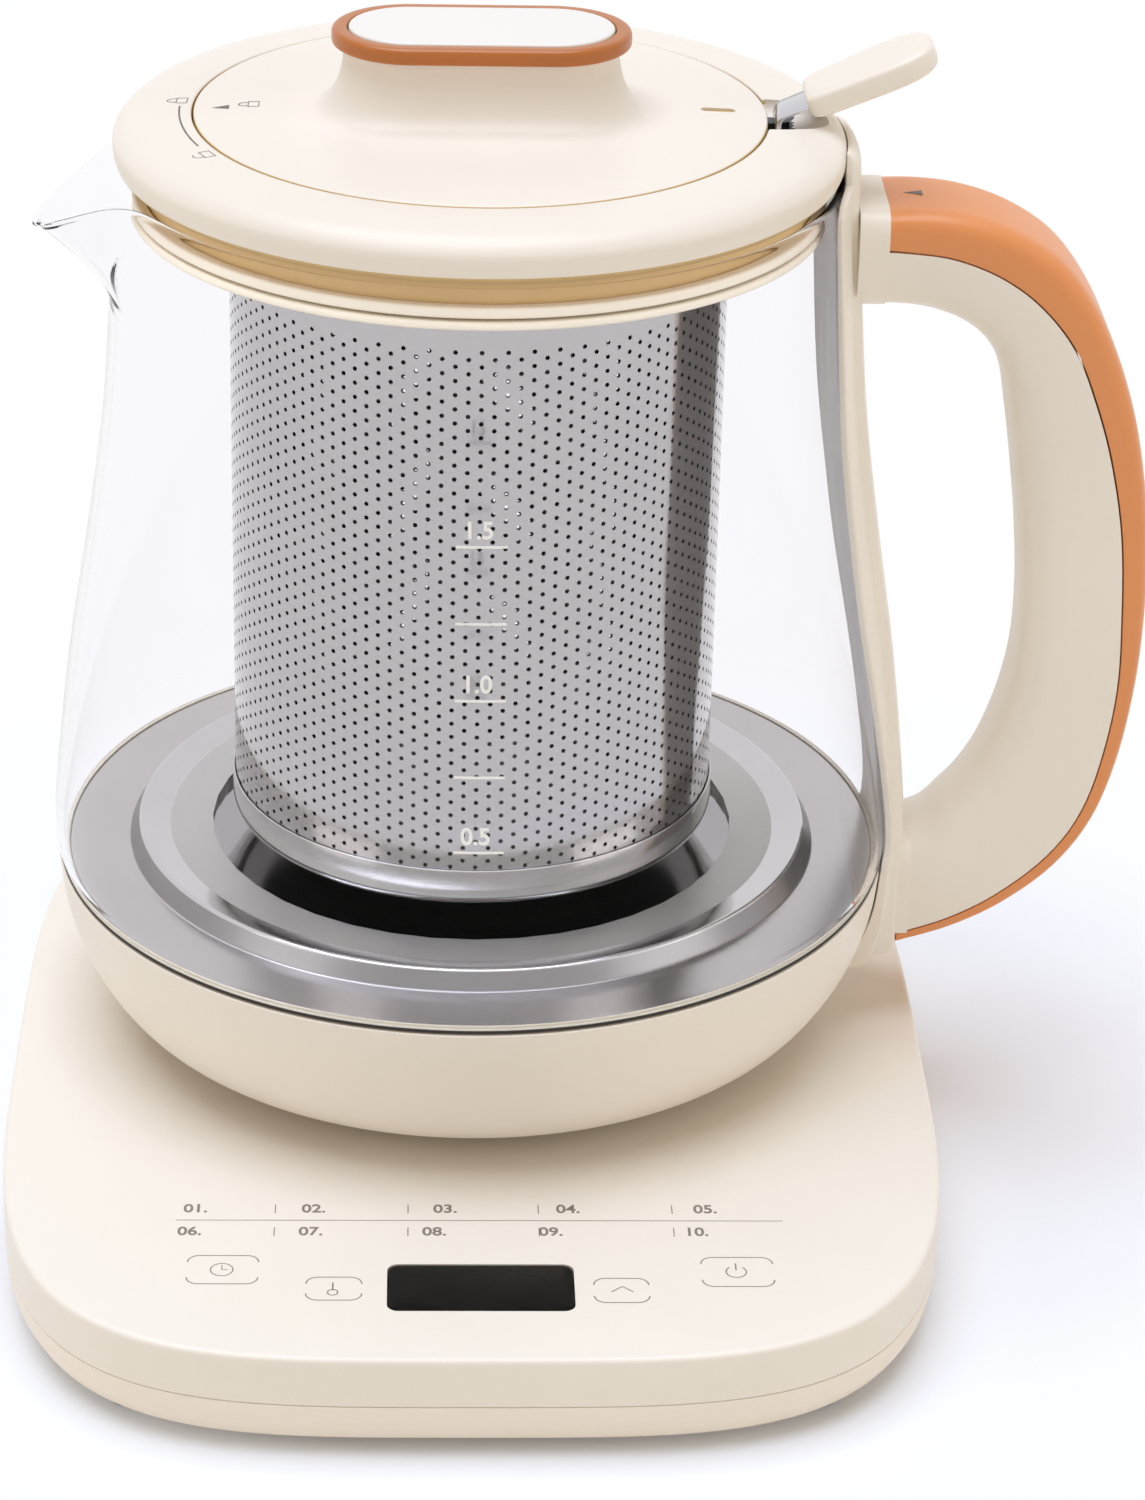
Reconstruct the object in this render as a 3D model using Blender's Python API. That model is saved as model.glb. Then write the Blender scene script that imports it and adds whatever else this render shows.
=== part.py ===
# Electric tea kettle: a glass jug on a touch-key power base, with an infuser basket that hangs
# in a lid ring, and an inner lid that twists in it.
# Units are metres and +Z is up. The base's front faces -Y and the handle points to +X.
# The origin is the middle of the outer box on the worktop.

import math

import bmesh
import bpy
from mathutils import Matrix, Vector

mm = 0.001
full_turn = 2 * math.pi

# Fits, steps and cuts
gap = 0.3 * mm                   # between pieces that touch
overrun = 3 * mm                 # how far a cutter runs past the surface it cuts
merge_distance = 0.001 * mm
smooth_angle = math.radians(35)
round_steps = 40                 # sides of the large turned pieces
small_steps = 20                 # sides of the connector's pieces
fine_steps = 10                  # sides of feet, bosses, springs and screws

# Power base
base_half_width = 92 * mm
base_half_depth = 116 * mm
base_setback = 21 * mm           # the base's middle lies this far in front of the kettle's axis
base_roundness = 3.8             # exponent of the outline, 2 for an ellipse, more for squarer
base_sides = 44
base_height = 22 * mm
base_wall = 2.2 * mm
base_top_panel = 2.2 * mm
base_edge = 2.4 * mm             # rounding of the top edge
base_seam_drop = 10.3 * mm
base_floor_panel = 2.2 * mm
base_lower_edge = 4 * mm
foot_height = 2.3 * mm
foot_radius = 8 * mm
foot_bevel = 0.8 * mm
foot_inset_x = 30 * mm           # of each foot's middle, from the base's side
foot_inset_y = 24 * mm

# Screws and their bosses
screw_shank = 1.4 * mm
screw_head = 2.6 * mm
screw_head_height = 1 * mm
screw_length = 12 * mm
screw_fit = 0.3 * mm
boss_wall = 1.6 * mm
base_screw_inset_x = 18 * mm     # from the base's side
base_screw_inset_y = 36 * mm
shell_screw_length = 10 * mm
shell_screw_turn = math.radians(50)

# Display and touch keys, set back from the base's front and sides
window_x = 1 * mm                # from the kettle's axis
window_inset = 24 * mm
window_half_width = 18 * mm
window_half_depth = 7.6 * mm
window_corner = 2 * mm
window_thickness = 2.1 * mm
display_inset = 1.2 * mm
display_thickness = 1.6 * mm
board_side_inset = 31 * mm
board_inset = 27 * mm
board_half_depth = 10.5 * mm
board_thickness = 1.6 * mm
board_post_radius = 2.4 * mm
board_post_inset = 3.5 * mm      # from the board's ends
left_key_inset = 44.5 * mm       # of the outer keys, from the base's sides
right_key_inset = 42.7 * mm
inner_key_spacing = 9.2 * mm     # of the inner keys, from the window's ends
outer_key_setback = 29.6 * mm    # of the keys, from the base's front
inner_key_setback = 23.3 * mm
spring_radius = 2.6 * mm
buzzer_radius = 6 * mm
buzzer_height = 5 * mm
power_board_inset = 30 * mm      # of its middle, from the base's side
power_board_clearance = 7.7 * mm # to the screw boss behind it
power_board_half_width = 20 * mm
power_board_half_depth = 34 * mm
power_board_lift = 3 * mm
power_post_radius = 3 * mm
power_post_inset = 6 * mm

# Cord gland in the rear wall
gland_half_width = 8 * mm
gland_height = 8.4 * mm
gland_lift = 1.4 * mm
gland_reach_in = 8 * mm
gland_reach_out = 3.5 * mm
cord_bore_radius = 3.1 * mm

# Connector between base and kettle
post_radius = 20 * mm
post_rise = 12 * mm
post_bevel = 0.8 * mm
post_depth = 13 * mm             # how far the housing reaches below the base's top
post_body = 22 * mm
post_flange = 27 * mm
post_flange_thickness = 4 * mm
support_wall = 2.5 * mm
support_clearance = 1 * mm
socket_radius = 3.4 * mm
socket_depth = 12 * mm
groove_inner = 12.2 * mm
groove_outer = 15.6 * mm
groove_depth = 10 * mm
contact_wall = 0.5 * mm
contact_length = 7 * mm
pin_radius = 2.3 * mm
pin_reach = 8 * mm
ring_contact_inner = 13.2 * mm
ring_contact_wall = 1.1 * mm
ring_contact_reach = 7 * mm
trim_ring_inner = 20.6 * mm
trim_ring_outer = 28 * mm
trim_ring_height = 2.4 * mm

# Lower shell and its bottom cover
foot_ring_height = 2.7 * mm
foot_ring_width = 11 * mm
foot_ring_slope = 1.5 * mm
shell_radius = 84 * mm
shell_height = 33.9 * mm
shell_wall = 2.4 * mm
shell_floor_width = 9 * mm       # from the shell's lower edge in to the bottom cover
shell_ledge_drop = 2.3 * mm
shell_ledge_width = 7.1 * mm     # inwards from the wall
shell_ledge_thickness = 2 * mm
# Outside of the shell from its bottom edge up, as shares of its radius and height
shell_profile_shares = ((0.667, 0), (0.762, 0.03), (0.831, 0.088), (0.876, 0.177), (0.920, 0.324),
                        (0.957, 0.5), (0.987, 0.737), (1, 1))
shell_boss_height = 8 * mm
kettle_connector_radius = 30 * mm
kettle_connector_flange = 34 * mm
kettle_connector_flange_thickness = 2 * mm
kettle_connector_recess = 21.4 * mm
kettle_connector_roof = 4 * mm
kettle_connector_headroom = 2.5 * mm
kettle_connector_top = 25 * mm

# Heating plate, element and sensors
plate_thickness = 1.4 * mm
plate_flange_width = 9.4 * mm    # outside the raised ring
plate_ring_width = 22.7 * mm
plate_ring_height = 4.1 * mm
plate_ring_slope = 3.4 * mm
plate_well_depth = 1 * mm
element_clearance = 1.9 * mm     # to the slopes of the plate's ring
element_height = 6.6 * mm
sensor_radius = 4 * mm
cutoff_radius = 6 * mm
cutoff_height = 7 * mm
cutoff_x = -30 * mm

# Seal between plate, glass and shell
seal_base_thickness = 1.6 * mm
seal_flange_thickness = 0.8 * mm
seal_lip_height = 0.9 * mm
seal_lip_thickness = 1 * mm

# Glass jug
glass_overhang = 0.5 * mm        # of its belly, past the shell
glass_wall = 2.8 * mm
glass_height = 142.2 * mm
glass_neck_radius = 69.5 * mm
# Outside of the jug from its foot to the start of the neck, as shares of its height and of the
# way from the neck's radius to the belly's
glass_profile_shares = ((0, 0.966), (0.044, 1), (0.130, 0.932), (0.300, 0.735), (0.482, 0.454),
                        (0.661, 0.211), (0.828, 0.093))
glass_neck_shares = (0.35, 0.7, 1)
spout_reach = 16 * mm            # past the neck
spout_dip = 12 * mm              # of its tip, below the jug's rim
spout_spread = math.radians(14)
spout_curve = 1.1                # power of the outward sweep, from the neck to the lip

# Handle
spine_thickness = 4.2 * mm
spine_edge_share = 0.55          # thickness of the spine's edges, as a share of its middle
spine_reach_steps = 1.25         # half width, in sides of the jug
spine_foot_stand = 4.4 * mm      # of the foot, past the shell
spine_foot_lift = 6 * mm         # of the foot, above the shell's bottom edge
spine_crown_height = 5.5 * mm    # above the jug's rim
spine_crown_taper = 2.5 * mm
spine_crown_stand = 5.1 * mm     # past the jug's neck
handle_reach = 134 * mm
handle_half_width = 13 * mm
handle_wall = 2.4 * mm
handle_bottom_lift = 13 * mm     # above the shell's bottom edge
handle_top_drop = 5.3 * mm       # below the jug's rim
handle_root_gap = 0.5 * mm
grip_inner_corner = 7 * mm
grip_outer_corner = 5.2 * mm
corner_share = 0.3
# Stations from the top arm round to the lower arm. Each holds the inner face, the seam and the
# outer face, as shares of the reach past the spine and of the handle's height.
handle_station_shares = (
    ((0, 0.873), (0, 0.954), (0, 0.999)),
    ((0.113, 0.875), (0.163, 0.951), (0.207, 1)),
    ((0.228, 0.869), (0.302, 0.943), (0.361, 0.992)),
    ((0.340, 0.851), (0.447, 0.920), (0.514, 0.970)),
    ((0.422, 0.820), (0.575, 0.883), (0.658, 0.930)),
    ((0.470, 0.773), (0.686, 0.829), (0.778, 0.864)),
    ((0.494, 0.704), (0.763, 0.760), (0.873, 0.779)),
    ((0.511, 0.628), (0.824, 0.685), (0.935, 0.694)),
    ((0.522, 0.559), (0.867, 0.584), (0.981, 0.584)),
    ((0.522, 0.477), (0.883, 0.471), (1, 0.465)),
    ((0.498, 0.396), (0.876, 0.377), (0.990, 0.358)),
    ((0.442, 0.327), (0.826, 0.289), (0.948, 0.261)),
    ((0.361, 0.267), (0.749, 0.214), (0.859, 0.176)),
    ((0.270, 0.222), (0.618, 0.154), (0.699, 0.107)),
    ((0.180, 0.192), (0.418, 0.101), (0.476, 0.053)),
    ((0.101, 0.168), (0.216, 0.065), (0.239, 0.019)),
    ((0, 0.157), (0, 0.041), (0, 0)),
)
outer_shell_start_share = 0.04   # the outer shell starts this far past the root
handle_screw_spacing = 13 * mm
handle_screw_lift = 21 * mm      # above the shell's bottom edge
handle_screw_length = 7 * mm

# Lid ring, collar and gaskets
ring_overhang = 0.1 * mm         # past the jug's neck
ring_width = 14.9 * mm
ring_height = 9.8 * mm
ring_ledge_clearance = 1.5 * mm  # to the basket's rim
ring_ledge_thickness = 2 * mm
# Outside of the ring from its foot up, as shares of the way from bore to rim and of its height
ring_profile_shares = ((0.866, 0), (1, 0.31), (0.985, 0.64), (0.80, 0.87), (0.45, 0.965))
collar_height = 8.9 * mm
gasket_reach = 2.9 * mm          # from the collar to the glass
collar_wall = 2.2 * mm
collar_top_thickness = 2 * mm
gasket_height = 1.8 * mm
gasket_lift_shares = (0.12, 0.48)

# Basket
basket_wall_thickness = 0.6 * mm
basket_clearance = 5.4 * mm      # between the basket and the heating plate's rim level
pan_height = 9.7 * mm
pan_thickness = 0.6 * mm
pan_corner = 4.2 * mm
pan_wall_seat = 6.2 * mm         # the wall's lower edge, above the pan's underside
rim_flange_width = 5.4 * mm      # past the basket's wall
rim_flange_clearance = 1 * mm    # to the inner lid's edge
rim_thickness = 1.2 * mm
rim_lap = 5 * mm
rim_wall = 0.8 * mm
strip_half_width = 4.5 * mm
strip_thickness = 1 * mm
strip_rise = 7.4 * mm
strip_offset = 2.9 * mm          # from the rim flange's edge to the strip's standing part
strip_slope = math.radians(24)
strip_length = 15 * mm
basket_grip_length = 30 * mm
basket_grip_start = 6.6 * mm     # along the strip's slope
basket_grip_half_width = 8.5 * mm
basket_grip_thickness = 5.6 * mm
# Sections of the grip as shares of its length, half width and thickness
basket_grip_shares = ((0, 0.70, 0.72), (0.05, 0.80, 0.9), (0.35, 0.92, 1), (0.80, 1, 1),
                      (0.93, 0.86, 0.9), (1, 0.5, 0.62))
notch_half_width = 7 * mm
notch_reach = 4.4 * mm
scoop_reach = 12 * mm            # past the ring's bore
scoop_half_width = 9 * mm
scoop_depth = 4.5 * mm

# Inner lid and knob
lid_wall = 2.2 * mm
lid_skirt_height = 4.2 * mm
lid_crown = 1 * mm
lid_flat_share = 0.55            # radius of the flat crown, as a share of the lid's
lid_seal_inset = 0.2 * mm        # from the edge of the basket's rim
lid_seal_width = 5.4 * mm
lid_seal_thickness = 1.5 * mm
liner_thickness = 1.7 * mm
vent_inset = 9.4 * mm            # from the lid's edge
vent_half_length = 3.1 * mm
vent_half_width = 0.6 * mm
pedestal_height = 12 * mm        # above the lid's crown
pedestal_sink = 1.5 * mm         # how far it runs into the cover it grows out of
pedestal_half_length = 26 * mm
pedestal_half_width = 12.6 * mm
pedestal_flare = 8 * mm
# Widening of the pedestal from its foot up, as shares of its height and of its flare
pedestal_shares = ((0, 1), (0.09, 0.78), (0.2, 0.52), (0.38, 0.26), (0.62, 0.08), (1, 0))
knob_half_length = 28.3 * mm
knob_half_width = 15 * mm
knob_band_height = 3.2 * mm
knob_band_width = 2.9 * mm
knob_band_edge = 0.9 * mm
knob_cap_lift = 0.3 * mm
knob_cap_edge = 0.8 * mm
stadium_steps = 9                # sides of each round end
knob_screw_length = 11 * mm

# Radii that follow from the shell outside and the jug's neck
foot_ring_outer = shell_radius * shell_profile_shares[0][0]
foot_ring_inner = foot_ring_outer - foot_ring_width
shell_opening = foot_ring_outer - shell_floor_width
shell_ledge_inner = shell_radius - shell_wall - shell_ledge_width
glass_belly_radius = shell_radius + glass_overhang
glass_foot_radius = (glass_neck_radius
                     + (glass_belly_radius - glass_neck_radius) * glass_profile_shares[0][1])
seal_lip_outer = glass_foot_radius - glass_wall - gap
plate_radius = seal_lip_outer - seal_lip_thickness - gap
plate_ring_outer = plate_radius - plate_flange_width
plate_ring_inner = plate_ring_outer - plate_ring_width
spine_foot_reach = shell_radius + spine_foot_stand
spine_crown_radius = glass_neck_radius + spine_crown_stand
ring_radius = glass_neck_radius + ring_overhang
ring_bore = ring_radius - ring_width
collar_radius = glass_neck_radius - glass_wall - gasket_reach
lid_radius = ring_bore - gap
rim_flange_radius = lid_radius - rim_flange_clearance
basket_radius = rim_flange_radius - rim_flange_width
ring_ledge_bore = basket_radius + gap + rim_wall + ring_ledge_clearance
lid_seal_outer = rim_flange_radius - lid_seal_inset
lid_seal_inner = lid_seal_outer - lid_seal_width

# Places on the power base, measured from the kettle's axis
base_front = -base_half_depth - base_setback
window_y = base_front + window_inset
board_y = base_front + board_inset
board_half_width = base_half_width - board_side_inset
key_places = (
    (left_key_inset - base_half_width, base_front + outer_key_setback),
    (window_x - window_half_width - inner_key_spacing, base_front + inner_key_setback),
    (window_x + window_half_width + inner_key_spacing, base_front + inner_key_setback),
    (base_half_width - right_key_inset, base_front + outer_key_setback))
base_screw_x = base_half_width - base_screw_inset_x
base_screw_y = base_half_depth - base_screw_inset_y
screw_boss_radius = screw_shank + screw_fit + boss_wall
power_board_x = power_board_inset - base_half_width
power_board_y = (base_screw_y - base_setback - screw_boss_radius - power_board_clearance
                 - power_board_half_depth)

# Heights above the worktop that follow from the sizes above
base_floor_z = foot_height + gap
base_floor_top_z = base_floor_z + base_floor_panel
base_seam_z = base_height - base_seam_drop
base_panel_z = base_height - base_top_panel
post_top_z = base_height + post_rise
kettle_floor_z = base_height + gap
shell_bottom_z = kettle_floor_z + foot_ring_height
shell_top_z = shell_bottom_z + shell_height
shell_ledge_z = shell_top_z - shell_ledge_drop
seal_base_z = shell_ledge_z + gap
plate_bottom_z = seal_base_z + seal_base_thickness + gap
plate_z = plate_bottom_z + plate_thickness
glass_bottom_z = shell_top_z + gap + seal_flange_thickness + gap
glass_top_z = glass_bottom_z + glass_height
ring_bottom_z = glass_top_z + gap
ring_top_z = ring_bottom_z + ring_height
ring_ledge_z = ring_bottom_z + ring_ledge_thickness
rim_bottom_z = ring_ledge_z + gap
rim_top_z = rim_bottom_z + rim_thickness
lid_seal_z = rim_top_z + gap
liner_z = lid_seal_z + lid_seal_thickness + gap
cover_under_z = liner_z + liner_thickness + gap
cover_edge_z = liner_z + lid_skirt_height
crown_z = cover_edge_z + lid_crown
pedestal_top_z = crown_z + pedestal_height
basket_bottom_z = plate_z + basket_clearance
connector_face_z = shell_bottom_z + 2 * gap
connector_ceiling_z = post_top_z + kettle_connector_headroom
connector_top_z = shell_bottom_z - foot_ring_height + kettle_connector_top
handle_height = glass_top_z - handle_top_drop - shell_bottom_z - handle_bottom_lift
axis_x = (base_half_width - handle_reach) / 2
axis_y = base_setback - gland_reach_out / 2

cream = (0.93, 0.87, 0.74, 1)
orange = (0.80, 0.43, 0.18, 1)
steel_colour = (0.62, 0.61, 0.60, 1)
brass_colour = (0.75, 0.60, 0.30, 1)
dark = (0.03, 0.03, 0.035, 1)
gasket_colour = (0.85, 0.72, 0.48, 1)
board_green = (0.05, 0.22, 0.12, 1)
glass_tint = (0.86, 0.92, 0.93, 1)
rubber_grey = (0.25, 0.25, 0.25, 1)


def clear_scene():
    for item in list(bpy.data.objects):
        bpy.data.objects.remove(item, do_unlink=True)


def surface(name, colour, roughness, metallic=0.0):
    """A plain material, one for each piece."""
    material = bpy.data.materials.new(name)
    material.use_nodes = True
    shader = material.node_tree.nodes["Principled BSDF"]
    shader.inputs["Base Color"].default_value = colour
    shader.inputs["Roughness"].default_value = roughness
    shader.inputs["Metallic"].default_value = metallic
    return material


def plastic(name, colour=cream):
    return surface(name, colour, 0.4)


def metal(name, colour=steel_colour):
    return surface(name, colour, 0.3, 1.0)


def group(name, parent=None, place=(0, 0, 0)):
    """An empty that carries the pieces that move together."""
    empty = bpy.data.objects.new(name, None)
    bpy.context.collection.objects.link(empty)
    empty.parent = parent
    empty.location = place
    return empty


def piece(name, bm, parent, material):
    """Turns a closed bmesh into a named object under its group."""
    bmesh.ops.remove_doubles(bm, verts=bm.verts, dist=merge_distance)
    bmesh.ops.recalc_face_normals(bm, faces=bm.faces)
    mesh = bpy.data.meshes.new(name)
    bm.to_mesh(mesh)
    bm.free()
    mesh.shade_smooth()
    mesh.set_sharp_from_angle(angle=smooth_angle)
    item = bpy.data.objects.new(name, mesh)
    bpy.context.collection.objects.link(item)
    item.parent = parent
    if material:
        mesh.materials.append(material)
    return item


def turned(profile, steps=round_steps, centre=(0, 0), height=0):
    """Spins a closed profile of (radius, height) points about a vertical axis."""
    bm = bmesh.new()
    points = [bm.verts.new((r, 0, z + height)) for r, z in profile]
    edges = []
    for first, second in zip(points, points[1:] + points[:1]):
        on_axis = first.co.x == 0 and second.co.x == 0
        if not on_axis:
            edges.append(bm.edges.new((first, second)))
    bmesh.ops.spin(bm, geom=points + edges, cent=(0, 0, 0), axis=(0, 0, 1), angle=full_turn,
                   steps=steps)
    bmesh.ops.remove_doubles(bm, verts=bm.verts, dist=merge_distance)
    bmesh.ops.translate(bm, verts=bm.verts, vec=(centre[0], centre[1], 0))
    return bm


def tube(inner, outer, low, high, steps=small_steps, centre=(0, 0)):
    return turned([(inner, low), (outer, low), (outer, high), (inner, high)], steps, centre)


def rod(radius, low, high, steps=fine_steps, centre=(0, 0)):
    return turned([(0, low), (radius, low), (radius, high), (0, high)], steps, centre)


def screw(low, length, steps=fine_steps, centre=(0, 0)):
    """A screw standing on its head."""
    seat = low + screw_head_height
    profile = [(0, low), (screw_head, low), (screw_head, seat), (screw_shank, seat),
               (screw_shank, seat + length), (0, seat + length)]
    return turned(profile, steps, centre)


def lofted(loops):
    """Joins closed loops of equal count into a solid with flat ends."""
    bm = bmesh.new()
    rings = [[bm.verts.new(point) for point in loop] for loop in loops]
    for lower, upper in zip(rings, rings[1:]):
        for i in range(len(lower)):
            j = (i + 1) % len(lower)
            bm.faces.new((lower[i], lower[j], upper[j], upper[i]))
    bm.faces.new(list(reversed(rings[0])))
    bm.faces.new(rings[-1])
    bmesh.ops.recalc_face_normals(bm, faces=bm.faces)
    return bm


def block(low, high):
    """A box between two corners."""
    bm = bmesh.new()
    size = [b - a for a, b in zip(low, high)]
    middle = [(a + b) / 2 for a, b in zip(low, high)]
    bmesh.ops.create_cube(bm, size=1, matrix=Matrix.Translation(middle) @ Matrix.Diagonal((*size, 1)))
    return bm


def flat_loop(outline, z):
    return [(x, y, z) for x, y in outline]


def slab(outline, low, high):
    return lofted([flat_loop(outline, low), flat_loop(outline, high)])


def stadium(half_length, half_width, steps=stadium_steps):
    """Outline of a bar with round ends, long along X."""
    straight = half_length - half_width
    points = []
    for side, start in ((1, -math.pi / 2), (-1, math.pi / 2)):
        for i in range(steps + 1):
            angle = start + math.pi * i / steps
            points.append((side * straight + half_width * math.cos(angle),
                           half_width * math.sin(angle)))
    return points


def rounded_rectangle(half_width, half_depth, corner, centre=(0, 0), steps=4):
    points = []
    for quarter, (sx, sy) in enumerate(((1, 1), (-1, 1), (-1, -1), (1, -1))):
        for i in range(steps + 1):
            angle = math.pi / 2 * (quarter + i / steps)
            points.append((centre[0] + sx * (half_width - corner) + corner * math.cos(angle),
                           centre[1] + sy * (half_depth - corner) + corner * math.sin(angle)))
    return points


def base_outline(inset):
    """Outline of the power base, a squared ellipse, drawn in by inset."""
    power = 2 / base_roundness
    points = []
    for i in range(base_sides):
        angle = full_turn * i / base_sides
        c, s = math.cos(angle), math.sin(angle)
        x = math.copysign(abs(c) ** power, c) * (base_half_width - inset)
        y = math.copysign(abs(s) ** power, s) * (base_half_depth - inset)
        points.append((x, y - base_setback))
    return points


def shape(target, tool, operation, name):
    """Cuts or joins a closed bmesh into a piece."""
    helper = piece(name, tool, target.parent, None)
    helper.hide_render = True
    helper.display_type = "WIRE"
    modifier = target.modifiers.new(name, "BOOLEAN")
    modifier.operation = operation
    modifier.solver = "EXACT"
    modifier.object = helper


def cut(target, tool, name):
    shape(target, tool, "DIFFERENCE", name)


def join(target, tool, name):
    shape(target, tool, "UNION", name)


def four_corners(x, y):
    """Places at the corners of a rectangle about the base's middle."""
    return [(sx * x, sy * y - base_setback) for sx in (-1, 1) for sy in (-1, 1)]


def make_base(parent):
    """Power base: covers, feet, screws and the electronics between them."""
    upper_seam = base_seam_z + gap / 2
    lower_seam = base_seam_z - gap / 2
    edge_mid = base_edge * corner_share
    top = piece("base_top_cover", lofted([
        flat_loop(base_outline(base_wall), base_panel_z),
        flat_loop(base_outline(base_wall), upper_seam),
        flat_loop(base_outline(0), upper_seam),
        flat_loop(base_outline(0), base_height - base_edge),
        flat_loop(base_outline(edge_mid), base_height - edge_mid),
        flat_loop(base_outline(base_edge), base_height),
    ]), parent, plastic("base_top_cover"))
    bottom = piece("base_bottom_cover", lofted([
        flat_loop(base_outline(base_wall), base_floor_top_z),
        flat_loop(base_outline(base_wall), lower_seam),
        flat_loop(base_outline(0), lower_seam),
        flat_loop(base_outline(0), base_floor_z + base_lower_edge),
        flat_loop(base_outline(base_lower_edge * corner_share),
                  base_floor_z + base_lower_edge * (1 - corner_share) / 2),
        flat_loop(base_outline(base_lower_edge), base_floor_z),
    ]), parent, plastic("base_bottom_cover"))

    # screws from below into bosses of the top cover
    pilot = screw_shank + screw_fit
    counterbore = screw_head + screw_fit
    head_low = base_floor_z + gap / 2
    seat = head_low + screw_head_height + gap
    for i, place in enumerate(four_corners(base_screw_x, base_screw_y)):
        number = i + 1
        boss = tube(pilot, screw_boss_radius, base_floor_top_z + gap,
                    base_panel_z + base_top_panel / 2, fine_steps, place)
        join(top, boss, f"boss_{number}")
        hole = turned([(0, base_floor_z - overrun), (counterbore, base_floor_z - overrun),
                       (counterbore, seat), (pilot, seat), (pilot, base_floor_top_z + overrun),
                       (0, base_floor_top_z + overrun)], fine_steps, place)
        cut(bottom, hole, f"screw_hole_{number}")
        piece(f"base_screw_{number}", screw(head_low, screw_length, fine_steps, place), parent,
              metal(f"base_screw_{number}"))
    for i, place in enumerate(four_corners(base_half_width - foot_inset_x,
                                               base_half_depth - foot_inset_y)):
        number = i + 1
        foot = turned([(0, 0), (foot_radius - foot_bevel, 0), (foot_radius, foot_bevel),
                       (foot_radius, foot_height), (0, foot_height)], fine_steps * 2, place)
        piece(f"rubber_foot_{number}", foot, parent, surface(f"rubber_foot_{number}", rubber_grey, 0.8))
    return top, bottom


def make_display(top, bottom, parent):
    """Window, display, boards, buzzer and touch springs."""
    place = (window_x, window_y)
    window_low = base_height - window_thickness
    opening = slab(rounded_rectangle(window_half_width + gap, window_half_depth + gap,
                                     window_corner, place),
                   base_panel_z - overrun, base_height + overrun)
    cut(top, opening, "window_opening")
    piece("display_window", slab(rounded_rectangle(window_half_width, window_half_depth,
                                                   window_corner, place),
                                 window_low, base_height),
          parent, surface("display_window", dark, 0.1))
    display_top = min(window_low, base_panel_z) - gap
    display_low = display_top - display_thickness
    piece("display_module", block(
        (window_x - window_half_width + display_inset, window_y - window_half_depth + display_inset,
         display_low),
        (window_x + window_half_width - display_inset, window_y + window_half_depth - display_inset,
         display_top)), parent, plastic("display_module", dark))
    board_top = display_low - gap
    board_low = board_top - board_thickness
    piece("control_board", block((-board_half_width, board_y - board_half_depth, board_low),
                                 (board_half_width, board_y + board_half_depth, board_top)),
          parent, plastic("control_board", board_green))
    for side in (-1, 1):
        post = rod(board_post_radius, board_top + gap, base_panel_z + base_top_panel / 2,
                   fine_steps, (side * (board_half_width - board_post_inset), board_y))
        join(top, post, f"board_post_{side}")
    for i, spot in enumerate(key_places):
        number = i + 1
        piece(f"touch_spring_{number}", rod(spring_radius, board_top + gap, base_panel_z - gap,
                                            fine_steps, spot),
              parent, metal(f"touch_spring_{number}"))
    piece("buzzer", rod(buzzer_radius, board_low - gap - buzzer_height, board_low - gap,
                        fine_steps, (window_x, board_y)), parent, plastic("buzzer", dark))

    power_low = base_floor_top_z + power_board_lift
    piece("power_board", block(
        (power_board_x - power_board_half_width, power_board_y - power_board_half_depth, power_low),
        (power_board_x + power_board_half_width, power_board_y + power_board_half_depth,
         power_low + board_thickness)), parent, plastic("power_board", board_green))
    reach = power_board_half_depth - power_post_inset
    for side in (-1, 1):
        post = rod(power_post_radius, base_floor_top_z - base_floor_panel / 2, power_low - gap,
                   fine_steps, (power_board_x, power_board_y + side * reach))
        join(bottom, post, f"power_post_{side}")


def make_gland(top, bottom, parent):
    """Block in the rear wall with the hole that the cord comes out of."""
    rear = base_half_depth - base_setback
    low = (-gland_half_width, rear - gland_reach_in, base_floor_top_z + gland_lift)
    high = (gland_half_width, rear + gland_reach_out, base_floor_top_z + gland_lift + gland_height)
    gland = piece("cord_gland", block(low, high), parent, plastic("cord_gland"))
    for target, name in ((top, "gland_slot_upper"), (bottom, "gland_slot_lower")):
        slot = block([v - gap for v in low], [v + gap for v in high])
        cut(target, slot, name)
    bore = rod(cord_bore_radius, -gland_reach_in - gland_reach_out, gland_reach_in + gland_reach_out,
               small_steps)
    turn = Matrix.Rotation(math.pi / 2, 4, "X")
    middle = Matrix.Translation((0, rear, (low[2] + high[2]) / 2))
    bmesh.ops.transform(bore, matrix=middle @ turn, verts=bore.verts)
    cut(gland, bore, "cord_bore")


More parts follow.
